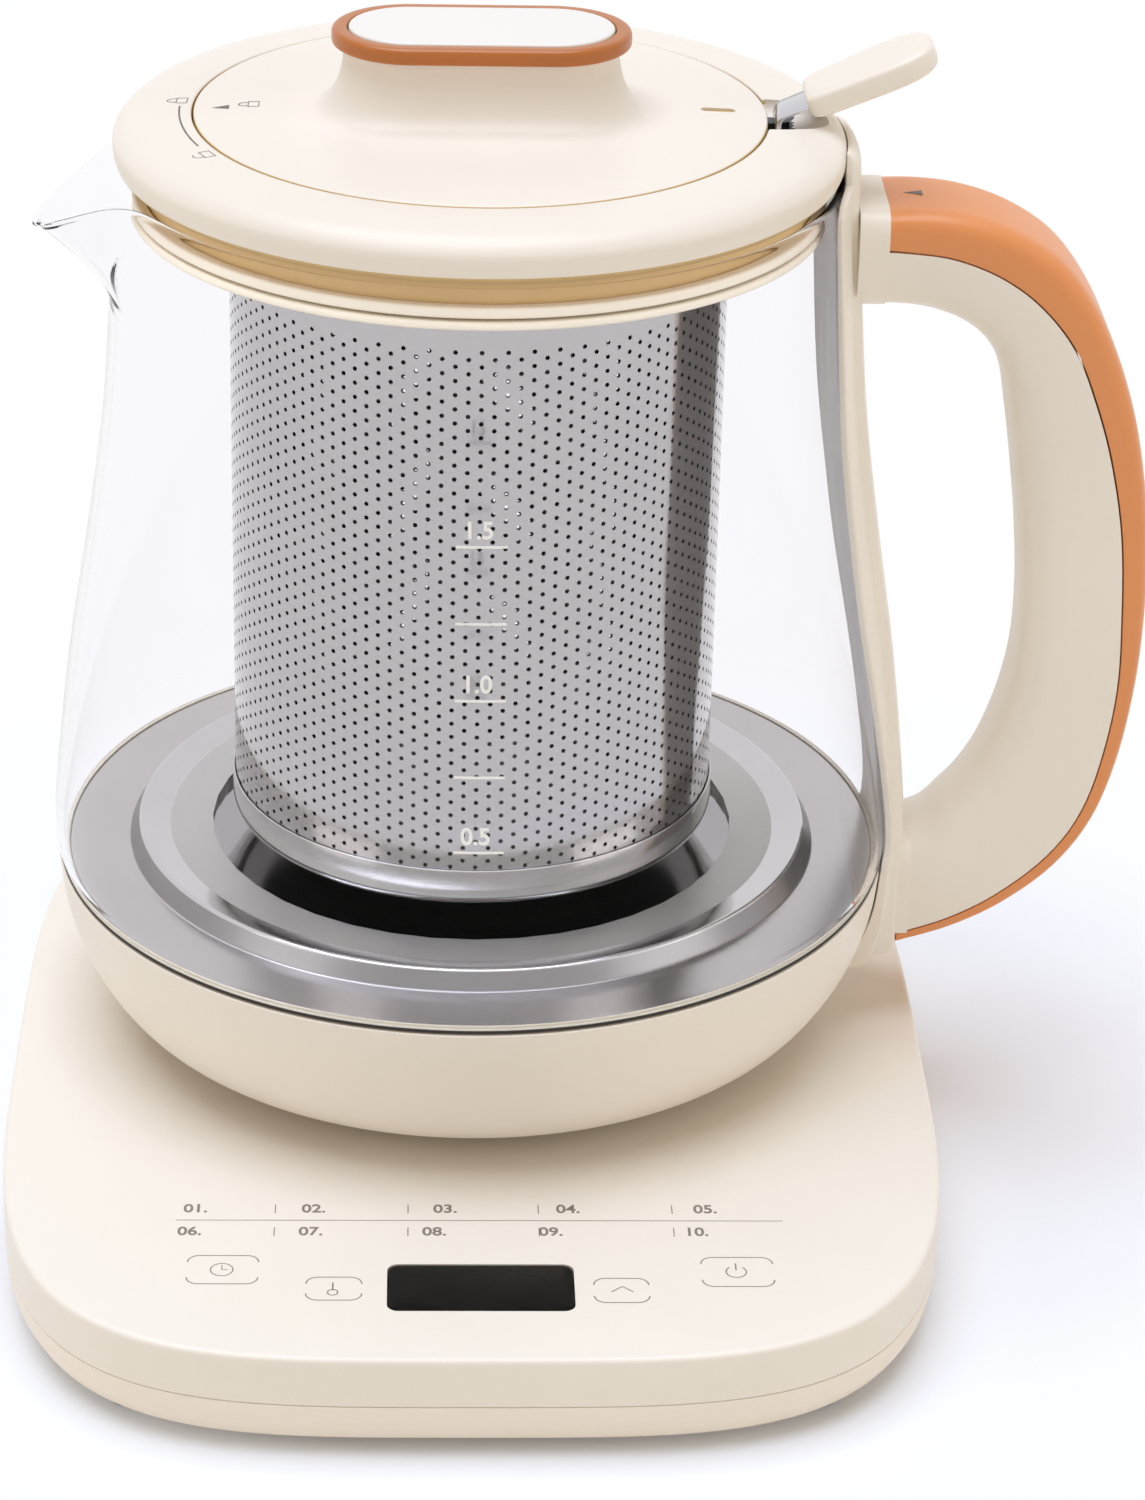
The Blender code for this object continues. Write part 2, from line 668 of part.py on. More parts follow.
def make_base_connector(top, bottom, parent):
    """Post with the sockets, held between the two covers."""
    low = base_height - post_depth
    flange_top = base_panel_z - gap
    flange_low = flange_top - post_flange_thickness
    groove_floor = post_top_z - groove_depth
    socket_floor = post_top_z - socket_depth
    cut(top, rod(post_radius + gap, base_panel_z - overrun, base_height + overrun, small_steps),
        "post_opening")
    piece("base_connector", turned([
        (0, low), (post_body, low), (post_body, flange_low), (post_flange, flange_low),
        (post_flange, flange_top), (post_radius, flange_top), (post_radius, post_top_z - post_bevel),
        (post_radius - post_bevel, post_top_z), (groove_outer, post_top_z),
        (groove_outer, groove_floor), (groove_inner, groove_floor), (groove_inner, post_top_z),
        (socket_radius, post_top_z), (socket_radius, socket_floor), (0, socket_floor)], small_steps),
        parent, plastic("base_connector", rubber_grey))
    support_inner = post_body + support_clearance
    join(bottom, tube(support_inner, support_inner + support_wall,
                      base_floor_top_z - base_floor_panel / 2, flange_low - gap), "connector_support")
    socket_outer = socket_radius - gap
    piece("centre_socket", tube(socket_outer - contact_wall, socket_outer, socket_floor + gap,
                                socket_floor + gap + contact_length),
          parent, metal("centre_socket", brass_colour))
    ring_outer = groove_outer - gap
    piece("ring_socket", tube(ring_outer - contact_wall, ring_outer, groove_floor + gap,
                              groove_floor + gap + contact_length),
          parent, metal("ring_socket", brass_colour))


def make_trim_ring(parent):
    low = base_height + gap
    piece("connector_trim_ring", tube(trim_ring_inner, trim_ring_outer, low, low + trim_ring_height),
          parent, plastic("connector_trim_ring"))


def shell_outline():
    """Outside of the lower shell from its bottom edge up."""
    return [(r * shell_radius, shell_bottom_z + z * shell_height) for r, z in shell_profile_shares]


def shell_surface(z):
    """Outside radius of the lower shell at a height."""
    outline = shell_outline()
    for (r0, z0), (r1, z1) in zip(outline, outline[1:]):
        if z <= z1:
            return r0 + (r1 - r0) * (z - z0) / (z1 - z0)
    return outline[-1][0]


def inside_shell():
    """Inside of the lower shell, from the ledge down to the floor."""
    outline = shell_outline()
    ledge_low = shell_ledge_z - shell_ledge_thickness
    inner = []
    for (r0, z0), (r1, z1) in zip(outline, outline[1:]):
        run, rise = r1 - r0, z1 - z0
        length = math.hypot(run, rise)
        r, z = r0 - shell_wall * rise / length, z0 + shell_wall * run / length
        if z < ledge_low - shell_wall:
            inner.append((r, z))
    floor = (inner[0][0], shell_bottom_z + shell_wall)
    wall_top = (shell_surface(ledge_low) - shell_wall, ledge_low)
    return [wall_top] + list(reversed(inner[1:])) + [floor]


def make_shell(parent):
    """Cream bowl under the glass, with its bottom cover and their screws."""
    rest_radius = shell_radius - shell_wall
    shell = piece("lower_shell", turned(
        [(shell_opening, shell_bottom_z)] + shell_outline() + [
            (rest_radius, shell_top_z), (rest_radius, shell_ledge_z),
            (shell_ledge_inner, shell_ledge_z),
            (shell_ledge_inner, shell_ledge_z - shell_ledge_thickness)] + inside_shell() + [
            (shell_opening, shell_bottom_z + shell_wall)]), parent, plastic("lower_shell"))
    spigot = shell_opening - gap
    plate_low = shell_bottom_z + gap
    cover = piece("shell_bottom_cover", turned([
        (kettle_connector_radius + gap, plate_low), (foot_ring_inner, plate_low),
        (foot_ring_inner + foot_ring_slope, kettle_floor_z),
        (foot_ring_outer - foot_ring_slope, kettle_floor_z),
        (foot_ring_outer, shell_bottom_z - gap), (spigot, shell_bottom_z - gap),
        (spigot, shell_bottom_z + shell_wall), (kettle_connector_radius + gap,
                                                shell_bottom_z + shell_wall)]),
        parent, plastic("shell_bottom_cover"))
    pilot = screw_shank + screw_fit
    counterbore = screw_head + screw_fit
    head_low = kettle_floor_z + gap / 2
    seat = head_low + screw_head_height + gap / 2
    boss_low = shell_bottom_z + shell_wall / 2
    boss_top = shell_bottom_z + shell_wall + shell_boss_height
    pilot_top = head_low + screw_head_height + shell_screw_length + gap
    circle = (shell_opening + foot_ring_outer) / 2
    angles = [shell_screw_turn + full_turn * i / 3 for i in range(3)]
    places = [(circle * math.cos(angle), circle * math.sin(angle)) for angle in angles]
    for i, place in enumerate(places):
        join(shell, rod(screw_boss_radius, boss_low, boss_top, fine_steps, place),
             f"shell_boss_{i + 1}")
    for i, place in enumerate(places):
        number = i + 1
        cut(shell, rod(pilot, shell_bottom_z - overrun, pilot_top, fine_steps, place),
            f"shell_pilot_{number}")
        cut(cover, turned([
            (0, kettle_floor_z - overrun), (counterbore, kettle_floor_z - overrun),
            (counterbore, seat), (pilot, seat), (pilot, shell_bottom_z + overrun),
            (0, shell_bottom_z + overrun)], fine_steps, place), f"cover_hole_{number}")
        piece(f"shell_screw_{number}", screw(head_low, shell_screw_length, fine_steps, place),
              parent, metal(f"shell_screw_{number}"))
    return shell


def make_kettle_connector(parent):
    """Kettle half of the connector, clamped by the bottom cover."""
    flange_low = shell_bottom_z + shell_wall + gap
    flange_top = flange_low + kettle_connector_flange_thickness
    shoulder = kettle_connector_radius - kettle_connector_roof
    piece("kettle_connector", turned([
        (kettle_connector_recess, connector_face_z), (kettle_connector_radius, connector_face_z),
        (kettle_connector_radius, flange_low), (kettle_connector_flange, flange_low),
        (kettle_connector_flange, flange_top), (kettle_connector_radius, flange_top),
        (shoulder, connector_top_z), (0, connector_top_z), (0, connector_ceiling_z),
        (kettle_connector_recess, connector_ceiling_z)], small_steps),
        parent, plastic("kettle_connector", rubber_grey))
    high = connector_ceiling_z - gap
    piece("centre_pin", rod(pin_radius, post_top_z - pin_reach, high, small_steps), parent,
          metal("centre_pin", brass_colour))
    piece("ring_contact", tube(ring_contact_inner, ring_contact_inner + ring_contact_wall,
                               post_top_z - ring_contact_reach, high), parent,
          metal("ring_contact", brass_colour))


def make_heater(parent):
    """Heating plate with its raised ring, the element, the sensor, the cutoff and the seal."""
    well_z = plate_z - plate_well_depth
    raised_z = plate_z + plate_ring_height
    slope = plate_ring_slope
    outer, inner = plate_ring_outer, plate_ring_inner
    raised_low = raised_z - plate_thickness
    top_side = [(0, well_z), (inner, well_z), (inner + slope, raised_z), (outer - slope, raised_z),
                (outer, plate_z), (plate_radius, plate_z)]
    under_side = [(plate_radius, plate_bottom_z), (outer - slope / 2, plate_bottom_z),
                  (outer - slope, raised_low), (inner + slope, raised_low),
                  (inner + slope / 2, well_z - plate_thickness), (0, well_z - plate_thickness)]
    piece("heating_plate", turned(top_side + under_side), parent, metal("heating_plate"))
    margin = slope + element_clearance
    piece("heating_element", tube(inner + margin, outer - margin, raised_low - gap - element_height,
                                  raised_low - gap, round_steps), parent, metal("heating_element"))
    under_well = well_z - plate_thickness - gap
    piece("temperature_sensor", rod(sensor_radius, connector_top_z + gap, under_well), parent,
          metal("temperature_sensor"))
    piece("thermal_cutoff", rod(cutoff_radius, under_well - cutoff_height, under_well, fine_steps,
                                (cutoff_x, 0)), parent, plastic("thermal_cutoff", dark))
    base_top = seal_base_z + seal_base_thickness
    flange_low = shell_top_z + gap
    flange_top = flange_low + seal_flange_thickness
    lip_inner = plate_radius + gap
    wall_outer = shell_radius - shell_wall - gap
    piece("jug_seal", turned([
        (shell_ledge_inner + gap, seal_base_z), (wall_outer, seal_base_z), (wall_outer, flange_low),
        (shell_radius - gap, flange_low), (shell_radius - gap, flange_top),
        (seal_lip_outer, flange_top), (seal_lip_outer, flange_top + seal_lip_height),
        (lip_inner, flange_top + seal_lip_height), (lip_inner, base_top),
        (shell_ledge_inner + gap, base_top)]), parent, surface("jug_seal", dark, 0.7))


def glass_sections():
    """Outside of the jug as (height, radius), without the spout."""
    swell = glass_belly_radius - glass_neck_radius
    body = [(glass_bottom_z + h * glass_height, glass_neck_radius + r * swell)
            for h, r in glass_profile_shares]
    start, start_radius = body[-1]
    neck = [(start + t * (glass_top_z - start), start_radius + t * (glass_neck_radius - start_radius))
            for t in glass_neck_shares]
    return body, neck


def make_jug(parent):
    """Glass jug, round but for the spout that its neck runs out into at -X."""
    body, neck = glass_sections()
    neck_start, neck_start_radius = body[-1]

    def ring(height_share, radius, offset, in_neck):
        points = []
        for i in range(round_steps):
            angle = full_turn * i / round_steps
            away = abs(angle - math.pi)
            swell = math.exp(-(away / spout_spread) ** 2)
            if in_neck:
                top = glass_top_z - spout_dip * swell
                z = neck_start + height_share * (top - neck_start)
                r = radius + spout_reach * swell * height_share ** spout_curve
            else:
                z, r = height_share, radius
            r -= offset
            points.append((r * math.cos(angle), r * math.sin(angle), z))
        return points

    outside = [ring(z, r, 0, False) for z, r in body]
    outside += [ring(t, r, 0, True) for t, (z, r) in zip(glass_neck_shares, neck)]
    inside = [ring(z, r, glass_wall, False) for z, r in body[::2]]
    inside += [ring(t, r, glass_wall, True) for t, (z, r) in zip(glass_neck_shares, neck)]
    # the loops run up the outside and down the inside, and the foot closes them
    loops = outside + list(reversed(inside))
    bm = bmesh.new()
    rings = [[bm.verts.new(point) for point in loop] for loop in loops]
    for lower, upper in zip(rings, rings[1:] + rings[:1]):
        for i in range(round_steps):
            j = (i + 1) % round_steps
            bm.faces.new((lower[i], lower[j], upper[j], upper[i]))
    piece("glass_jug", bm, parent, surface("glass_jug", glass_tint, 0.05))


def spine_stations():
    """Heights of the spine with the radius it lies on and the reach of its outer face."""
    body, neck = glass_sections()
    foot_z = shell_bottom_z + spine_foot_lift
    stations = [(foot_z, shell_surface(foot_z), spine_foot_reach)]
    for r, z in shell_outline():
        if z > foot_z and z < shell_top_z:
            stations.append((z, r, spine_foot_reach))
    for z, r in body + neck:
        stations.append((z, r, r + spine_thickness))
    # the foot's outer face stands upright until the jug's own line takes over
    stations = [(z, r, max(reach, spine_foot_reach) if z < stations_meet(body) else reach)
                for z, r, reach in stations]
    crown_radius = max(ring_radius + gap * 2, glass_neck_radius)
    stations.append((glass_top_z + gap, crown_radius, spine_crown_radius))
    stations.append((glass_top_z + spine_crown_height - spine_crown_taper, crown_radius,
                     spine_crown_radius))
    stations.append((glass_top_z + spine_crown_height, crown_radius,
                     spine_crown_radius - spine_crown_taper))
    return stations


def stations_meet(body):
    """Height where the jug's own line reaches out as far as the foot."""
    for z, r in body:
        if r + spine_thickness >= spine_foot_reach:
            return z
    return body[0][0]


def spine_loop(z, radius, reach):
    """One level section of the spine, from one edge round to the other and back."""
    step = full_turn / round_steps
    angles = [share * step for share in (-spine_reach_steps, -1, 0, 1, spine_reach_steps)]
    inner = radius + gap
    edge = radius + gap + (reach - inner) * spine_edge_share
    outer = [edge, (edge + reach) / 2, reach, (edge + reach) / 2, edge]
    loop = [(inner * math.cos(a), inner * math.sin(a), z) for a in angles]
    for a, r in zip(reversed(angles), outer):
        loop.append((r * math.cos(a), r * math.sin(a), z))
    return loop


def root_reach(z):
    """Reach of the line where the handle's arms meet the spine."""
    stations = spine_stations()
    for (z0, _, reach0), (z1, _, reach1) in zip(stations, stations[1:]):
        if z <= z1:
            return handle_root_gap + reach0 + (reach1 - reach0) * (z - z0) / (z1 - z0)
    return handle_root_gap + stations[-1][2]


def handle_point(shares):
    """Turns a pair of shares into reach and height."""
    z = shell_bottom_z + handle_bottom_lift + shares[1] * handle_height
    root = root_reach(z)
    return Vector((root + shares[0] * (handle_reach - root), 0, z))


def channel_loop(near, far, corner, wall, open_end):
    """U-shaped section between two points, with its round side at the point that isn't open."""
    closed_point, open_point = (near, far) if open_end == "far" else (far, near)
    along = (open_point - closed_point).normalized()
    depth = (open_point - closed_point).length
    side = Vector((0, 1, 0))
    half = handle_half_width
    small = corner * corner_share

    def at(distance, offset):
        return closed_point + along * distance + side * offset

    outer = [at(depth, -half), at(corner, -half), at(small, -(half - small)),
             at(0, -(half - corner)), at(0, half - corner), at(small, half - small),
             at(corner, half), at(depth, half)]
    inner_corner = half - max(corner, wall + small)
    inner = [at(depth, half - wall), at(corner, half - wall), at(wall, inner_corner),
             at(wall, -inner_corner), at(corner, -(half - wall)), at(depth, -(half - wall))]
    return outer + inner


def make_handle(shell, parent):
    """Spine on the glass, hollow inner shell and the outer shell that closes it."""
    spine = piece("handle_spine", lofted([spine_loop(*s) for s in spine_stations()]), parent,
                  plastic("handle_spine"))
    inner_loops = []
    outer_loops = []
    last = len(handle_station_shares) - 1
    for i, (inner, seam, outer) in enumerate(handle_station_shares):
        near, middle, far = handle_point(inner), handle_point(seam), handle_point(outer)
        inner_loops.append(channel_loop(near, middle, grip_inner_corner, handle_wall, "far"))
        lift = (far - middle).normalized() * gap
        shift = Vector((0, 0, 0))
        if i in (0, last):
            shift.x = outer_shell_start_share * (handle_reach - root_reach(middle.z))
        outer_loops.append(channel_loop(middle + lift + shift, far + shift, grip_outer_corner,
                                        handle_wall, "near"))
    piece("handle_inner_shell", lofted(inner_loops), parent, plastic("handle_inner_shell"))
    piece("handle_outer_shell", lofted(outer_loops), parent, plastic("handle_outer_shell", orange))

    # two screws from inside the shell into the spine's foot
    z = shell_bottom_z + handle_screw_lift
    start = shell_surface(z) - shell_wall * 2 - screw_head_height
    for i, side in enumerate((-1, 1)):
        number = i + 1
        y = side * handle_screw_spacing / 2
        place = Matrix.Translation((start, y, z)) @ Matrix.Rotation(math.pi / 2, 4, "Y")
        item = screw(0, handle_screw_length)
        bmesh.ops.transform(item, matrix=place, verts=item.verts)
        piece(f"handle_screw_{number}", item, parent, metal(f"handle_screw_{number}"))
        for target, name in ((shell, "shell_handle_hole"), (spine, "spine_pilot")):
            hole = rod(screw_shank + screw_fit, 0, screw_head_height + handle_screw_length + gap * 2)
            bmesh.ops.transform(hole, matrix=place, verts=hole.verts)
            cut(target, hole, f"{name}_{number}")


def make_lid_ring(parent):
    """Ring that closes the jug's neck and carries the basket and the inner lid."""
    outside = [(ring_bore + s * ring_width, ring_bottom_z + h * ring_height)
               for s, h in ring_profile_shares]
    ring = piece("lid_ring", turned(
        [(ring_ledge_bore, ring_bottom_z)] + outside + [
            (ring_bore, ring_top_z), (ring_bore, ring_ledge_z), (ring_ledge_bore, ring_ledge_z)]),
        parent, plastic("lid_ring"))
    notch_low = rim_bottom_z
    cut(ring, block((ring_bore - overrun, -notch_half_width, notch_low),
                    (ring_bore + notch_reach, notch_half_width, ring_top_z + overrun)), "strip_notch")
    scoop = bmesh.new()
    bmesh.ops.create_uvsphere(scoop, u_segments=small_steps, v_segments=fine_steps, radius=1)
    place = Matrix.Translation((ring_bore, 0, ring_top_z))
    size = Matrix.Diagonal((scoop_reach, scoop_half_width, scoop_depth, 1))
    bmesh.ops.transform(scoop, matrix=place @ size, verts=scoop.verts)
    cut(ring, scoop, "grip_scoop")

    collar_top = ring_bottom_z - gap
    collar_low = collar_top - collar_height
    inner = collar_radius - collar_wall
    piece("neck_collar", turned([
        (ring_ledge_bore, collar_top - collar_top_thickness),
        (inner, collar_top - collar_top_thickness), (inner, collar_low), (collar_radius, collar_low),
        (collar_radius, collar_top), (ring_ledge_bore, collar_top)]), parent, plastic("neck_collar"))
    outer = glass_neck_radius - glass_wall - gap
    for share, name in zip(gasket_lift_shares, ("lower_gasket", "upper_gasket")):
        low = collar_low + share * collar_height
        mid = low + gasket_height / 2
        piece(name, turned([(collar_radius + gap, low), (outer, mid), (collar_radius + gap,
                                                                      low + gasket_height)]),
              parent, surface(name, gasket_colour, 0.6))


def strip_points():
    """Middle line of the steel strip from the rim out to its end, as reach and height."""
    start = rim_flange_radius + gap
    stand = rim_flange_radius + strip_offset
    flat_z = rim_bottom_z + rim_thickness / 2
    bend_z = flat_z + strip_rise
    end = (stand + strip_length * math.cos(strip_slope), bend_z + strip_length * math.sin(strip_slope))
    return [(start, flat_z), (stand, flat_z), (stand, bend_z), end]


def make_basket(parent):
    """Infuser basket: wall, pan, rim, and the strip and grip that lift it."""
    inner = basket_radius - basket_wall_thickness
    piece("basket_wall", tube(inner, basket_radius, basket_bottom_z + pan_wall_seat, rim_top_z,
                              round_steps), parent, metal("basket_wall"))
    pan_inner = basket_radius + gap
    pan_outer = pan_inner + pan_thickness
    low, high = basket_bottom_z, basket_bottom_z + pan_height
    step = pan_corner * corner_share
    piece("basket_pan", turned([
        (0, low), (pan_outer - pan_corner, low), (pan_outer - step, low + step),
        (pan_outer, low + pan_corner), (pan_outer, high), (pan_inner, high),
        (pan_inner, low + pan_corner), (pan_inner - step, low + step + pan_thickness),
        (pan_inner - pan_corner, low + pan_thickness), (0, low + pan_thickness)]),
        parent, metal("basket_pan"))
    sleeve_inner = basket_radius + gap
    sleeve_outer = sleeve_inner + rim_wall
    sleeve_low = rim_bottom_z - rim_lap
    piece("basket_rim", turned([
        (sleeve_inner, sleeve_low), (sleeve_outer, sleeve_low), (sleeve_outer, rim_bottom_z),
        (rim_flange_radius, rim_bottom_z), (rim_flange_radius, rim_top_z),
        (sleeve_inner, rim_top_z)]), parent, metal("basket_rim"))

    # the strip is a bent ribbon of even thickness
    line = [Vector((r, 0, z)) for r, z in strip_points()]
    half = strip_thickness / 2
    above, below = [], []
    for i, point in enumerate(line):
        before = (point - line[i - 1]).normalized() if i else (line[1] - point).normalized()
        after = (line[i + 1] - point).normalized() if i + 1 < len(line) else before
        first = Vector((-before.z, 0, before.x))
        second = Vector((-after.z, 0, after.x))
        lean = (first + second) / (1 + first.dot(second))
        above.append(point + lean * half)
        below.append(point - lean * half)
    outline = above + list(reversed(below))
    loops = [[(p.x, side * strip_half_width, p.z) for p in outline] for side in (-1, 1)]
    piece("basket_strip", lofted(loops), parent, metal("basket_strip"))

    # the grip is moulded round the strip's end, so the strip's place is cut out of it
    bend = line[2]
    along = (line[3] - bend).normalized()
    up = Vector((-along.z, 0, along.x))
    start = bend + along * basket_grip_start
    loops = []
    for share, width, height in basket_grip_shares:
        middle = start + along * (share * basket_grip_length)
        w = width * basket_grip_half_width
        h = height * basket_grip_thickness / 2
        side_h = h * corner_share
        loops.append([middle + Vector((0, y, 0)) + up * lift for y, lift in (
            (-w, -side_h), (-w + h, -h), (w - h, -h), (w, -side_h),
            (w, side_h), (w - h, h), (-w + h, h), (-w, side_h))])
    grip = piece("basket_grip", lofted(loops), parent, plastic("basket_grip"))
    pocket_low = bend
    pocket_high = line[3] + along * gap
    reach = strip_half_width + gap
    thick = half + gap
    pocket = lofted([[end + Vector((0, y, 0)) + up * lift for y, lift in (
        (-reach, -thick), (reach, -thick), (reach, thick), (-reach, thick))]
        for end in (pocket_low, pocket_high)])
    cut(grip, pocket, "strip_pocket")


def make_lid_seal(parent):
    piece("inner_lid_seal", tube(lid_seal_inner, lid_seal_outer, lid_seal_z,
                                 lid_seal_z + lid_seal_thickness, round_steps),
          parent, surface("inner_lid_seal", gasket_colour, 0.6))


def make_inner_lid(parent):
    """Inner lid: cover with its pedestal, liner, knob and the screw that holds them."""
    skirt_inner = lid_radius - lid_wall
    cover = piece("inner_lid_cover", turned([
        (0, crown_z), (lid_radius * lid_flat_share, crown_z), (skirt_inner, cover_edge_z + gap),
        (lid_radius, cover_edge_z - gap), (lid_radius, liner_z), (skirt_inner, liner_z),
        (skirt_inner, cover_under_z), (0, cover_under_z)]), parent, plastic("inner_lid_cover"))
    loops = []
    low = crown_z - pedestal_sink
    for height, flare in pedestal_shares:
        grow = flare * pedestal_flare
        z = low + height * (pedestal_top_z - low)
        loops.append(flat_loop(stadium(pedestal_half_length + grow, pedestal_half_width + grow), z))
    join(cover, lofted(loops), "pedestal")
    liner = piece("inner_lid_liner", rod(skirt_inner - gap, liner_z, liner_z + liner_thickness,
                                         round_steps), parent, plastic("inner_lid_liner"))
    low = liner_z - gap - screw_head_height
    pilot = screw_shank + screw_fit
    high = low + screw_head_height + knob_screw_length + gap
    piece("knob_screw", screw(low, knob_screw_length), parent, metal("knob_screw"))
    for target, name in ((cover, "knob_pilot"), (liner, "liner_hole")):
        cut(target, rod(pilot, liner_z - overrun, high), name)
        reach = lid_radius - vent_inset
        vent = block((reach - vent_half_length, -vent_half_width, liner_z - overrun),
                     (reach + vent_half_length, vent_half_width, crown_z + overrun))
        cut(target, vent, f"{name}_vent")

    band_low = pedestal_top_z + gap
    band_top = band_low + knob_band_height
    edge = knob_band_edge
    outer = [(0, band_low + edge), (0, band_top - edge), (edge, band_top)]
    inset = knob_band_width
    stations = [(edge, band_low)] + outer + [(inset, band_top), (inset, band_low)]
    bm = bmesh.new()
    rings = []
    for shrink, z in stations:
        outline = stadium(knob_half_length - shrink, knob_half_width - shrink)
        rings.append([bm.verts.new(point) for point in flat_loop(outline, z)])
    for lower, upper in zip(rings, rings[1:] + rings[:1]):
        for i in range(len(lower)):
            j = (i + 1) % len(lower)
            bm.faces.new((lower[i], lower[j], upper[j], upper[i]))
    piece("knob_band", bm, parent, plastic("knob_band", orange))
    cap_inset = knob_band_width + gap
    cap_top = band_top + knob_cap_lift
    cap = [(cap_inset, band_low), (cap_inset, cap_top - knob_cap_edge * corner_share),
           (cap_inset + knob_cap_edge, cap_top)]
    piece("knob_cap", lofted([
        flat_loop(stadium(knob_half_length - shrink, knob_half_width - shrink), z)
        for shrink, z in cap]), parent, plastic("knob_cap"))


def main():
    clear_scene()
    origin = group("kettle_set", None, (axis_x, axis_y, 0))
    top, bottom = make_base(origin)
    make_display(top, bottom, origin)
    make_gland(top, bottom, origin)
    make_base_connector(top, bottom, origin)

    swivel = group("swivel_axis", origin)
    make_trim_ring(swivel)
    kettle = group("kettle_axis", swivel)
    shell = make_shell(kettle)
    make_kettle_connector(kettle)
    make_heater(kettle)
    make_jug(kettle)
    make_handle(shell, kettle)

    lid_ring = group("lid_ring_axis", kettle)
    make_lid_ring(lid_ring)
    basket = group("basket_axis", lid_ring)
    make_basket(basket)
    twist = group("inner_lid_twist_axis", basket)
    make_lid_seal(twist)
    lid = group("inner_lid_axis", twist)
    make_inner_lid(lid)


main()
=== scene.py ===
# %% [markdown]
# # A glass tea kettle on its power base
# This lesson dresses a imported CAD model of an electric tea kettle. The CAD file already holds
# every part in its true place, so each new piece takes its sizes from there, in millimetres
# measured from the kettle's own upright axis. The base stands in front of that axis, the spout
# points to -X and the handle to +X.

# %% Load the fixed frame
import math

import bmesh
import bpy
from mathutils import Matrix, Vector


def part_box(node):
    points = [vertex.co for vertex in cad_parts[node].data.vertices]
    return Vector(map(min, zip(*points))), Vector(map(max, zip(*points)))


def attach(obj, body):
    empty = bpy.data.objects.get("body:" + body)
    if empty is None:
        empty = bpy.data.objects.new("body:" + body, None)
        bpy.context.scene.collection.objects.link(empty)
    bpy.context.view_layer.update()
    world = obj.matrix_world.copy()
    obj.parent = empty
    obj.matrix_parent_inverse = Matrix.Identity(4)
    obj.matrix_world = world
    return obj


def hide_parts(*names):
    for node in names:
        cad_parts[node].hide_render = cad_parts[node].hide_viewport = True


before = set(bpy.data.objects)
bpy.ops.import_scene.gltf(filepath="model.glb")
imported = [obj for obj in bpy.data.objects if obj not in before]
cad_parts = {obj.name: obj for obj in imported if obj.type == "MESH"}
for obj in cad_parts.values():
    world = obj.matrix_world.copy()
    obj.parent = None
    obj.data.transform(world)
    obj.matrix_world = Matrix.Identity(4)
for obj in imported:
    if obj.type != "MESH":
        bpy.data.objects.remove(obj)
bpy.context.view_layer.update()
mm = 0.001
plate_low, plate_high = (Vector(corner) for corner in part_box("heating_plate"))
axis = Vector(((plate_low.x + plate_high.x) / 2, (plate_low.y + plate_high.y) / 2, 0))
print("kettle axis", [round(v / mm, 2) for v in axis])

# %% [markdown]
# ## Outlines
# Most of the kettle is round, so most pieces start as an outline of reach and height. A corner
# on a moulded part is never sharp. It could be rounded afterwards with a bevel, but a corner that
# is rounded in the outline costs nothing and keeps its size all the way round.

# %% Lines with rounded corners, and lines that flow through their points
def rounded_line(points, steps=5):
    """Corners given as (x, z, size) become small arcs; plain (x, z) corners stay sharp."""
    line = []
    for i, (x, z, *size) in enumerate(points):
        here = Vector((x, z))
        if not size:
            line.append(here)
            continue
        back = Vector(points[i - 1][:2]) - here
        ahead = Vector(points[(i + 1) % len(points)][:2]) - here
        first = here + back.normalized() * min(size[0], back.length * 0.49)
        last = here + ahead.normalized() * min(size[0], ahead.length * 0.49)
        for k in range(steps + 1):
            t = k / steps
            line.append(first * (1 - t) ** 2 + here * 2 * t * (1 - t) + last * t ** 2)
    return [tuple(p) for p in line]


def smooth_line(points, parts=6):
    """A flowing line through rows of numbers of any length."""
    line = []
    rows = [points[0]] + list(points) + [points[-1]]
    for a, b, c, d in zip(rows, rows[1:], rows[2:], rows[3:]):
        for k in range(parts):
            t = k / parts
            line.append(tuple(
                0.5 * (2 * q + (r - p) * t + (2 * p - 5 * q + 4 * r - s) * t * t
                       + (3 * q - p - 3 * r + s) * t ** 3) for p, q, r, s in zip(a, b, c, d)))
    return line + [tuple(points[-1])]


# %% [markdown]
# ## Turning on a lathe
# A turned piece is one outline carried round the axis. It could be done with the Screw modifier,
# but a maker sees it best as a spin: one point is extruded along the outline, and the whole line
# is spun a full turn. Doubles at the seam and the poles are merged, and the faces turned outwards.

# %% Lathe
def deselect():
    bpy.ops.object.select_all(action="DESELECT")


def close_mesh():
    """Merges what meets, points every face outwards and leaves edit mode."""
    bpy.ops.mesh.select_all(action="SELECT")
    bpy.ops.mesh.remove_doubles(threshold=0.002 * mm)
    bpy.ops.mesh.normals_make_consistent(inside=False)
    bpy.ops.object.mode_set(mode="OBJECT")
    return bpy.context.object


def drawn_points(points):
    """One point, extruded from place to place."""
    deselect()
    bpy.ops.mesh.primitive_plane_add(size=mm)
    bpy.ops.object.mode_set(mode="EDIT")
    bpy.ops.mesh.select_all(action="SELECT")
    bpy.ops.mesh.merge(type="CENTER")
    bpy.ops.transform.translate(value=points[0])
    for here, there in zip(points, points[1:]):
        bpy.ops.mesh.extrude_region_move(TRANSFORM_OT_translate={"value": there - here})


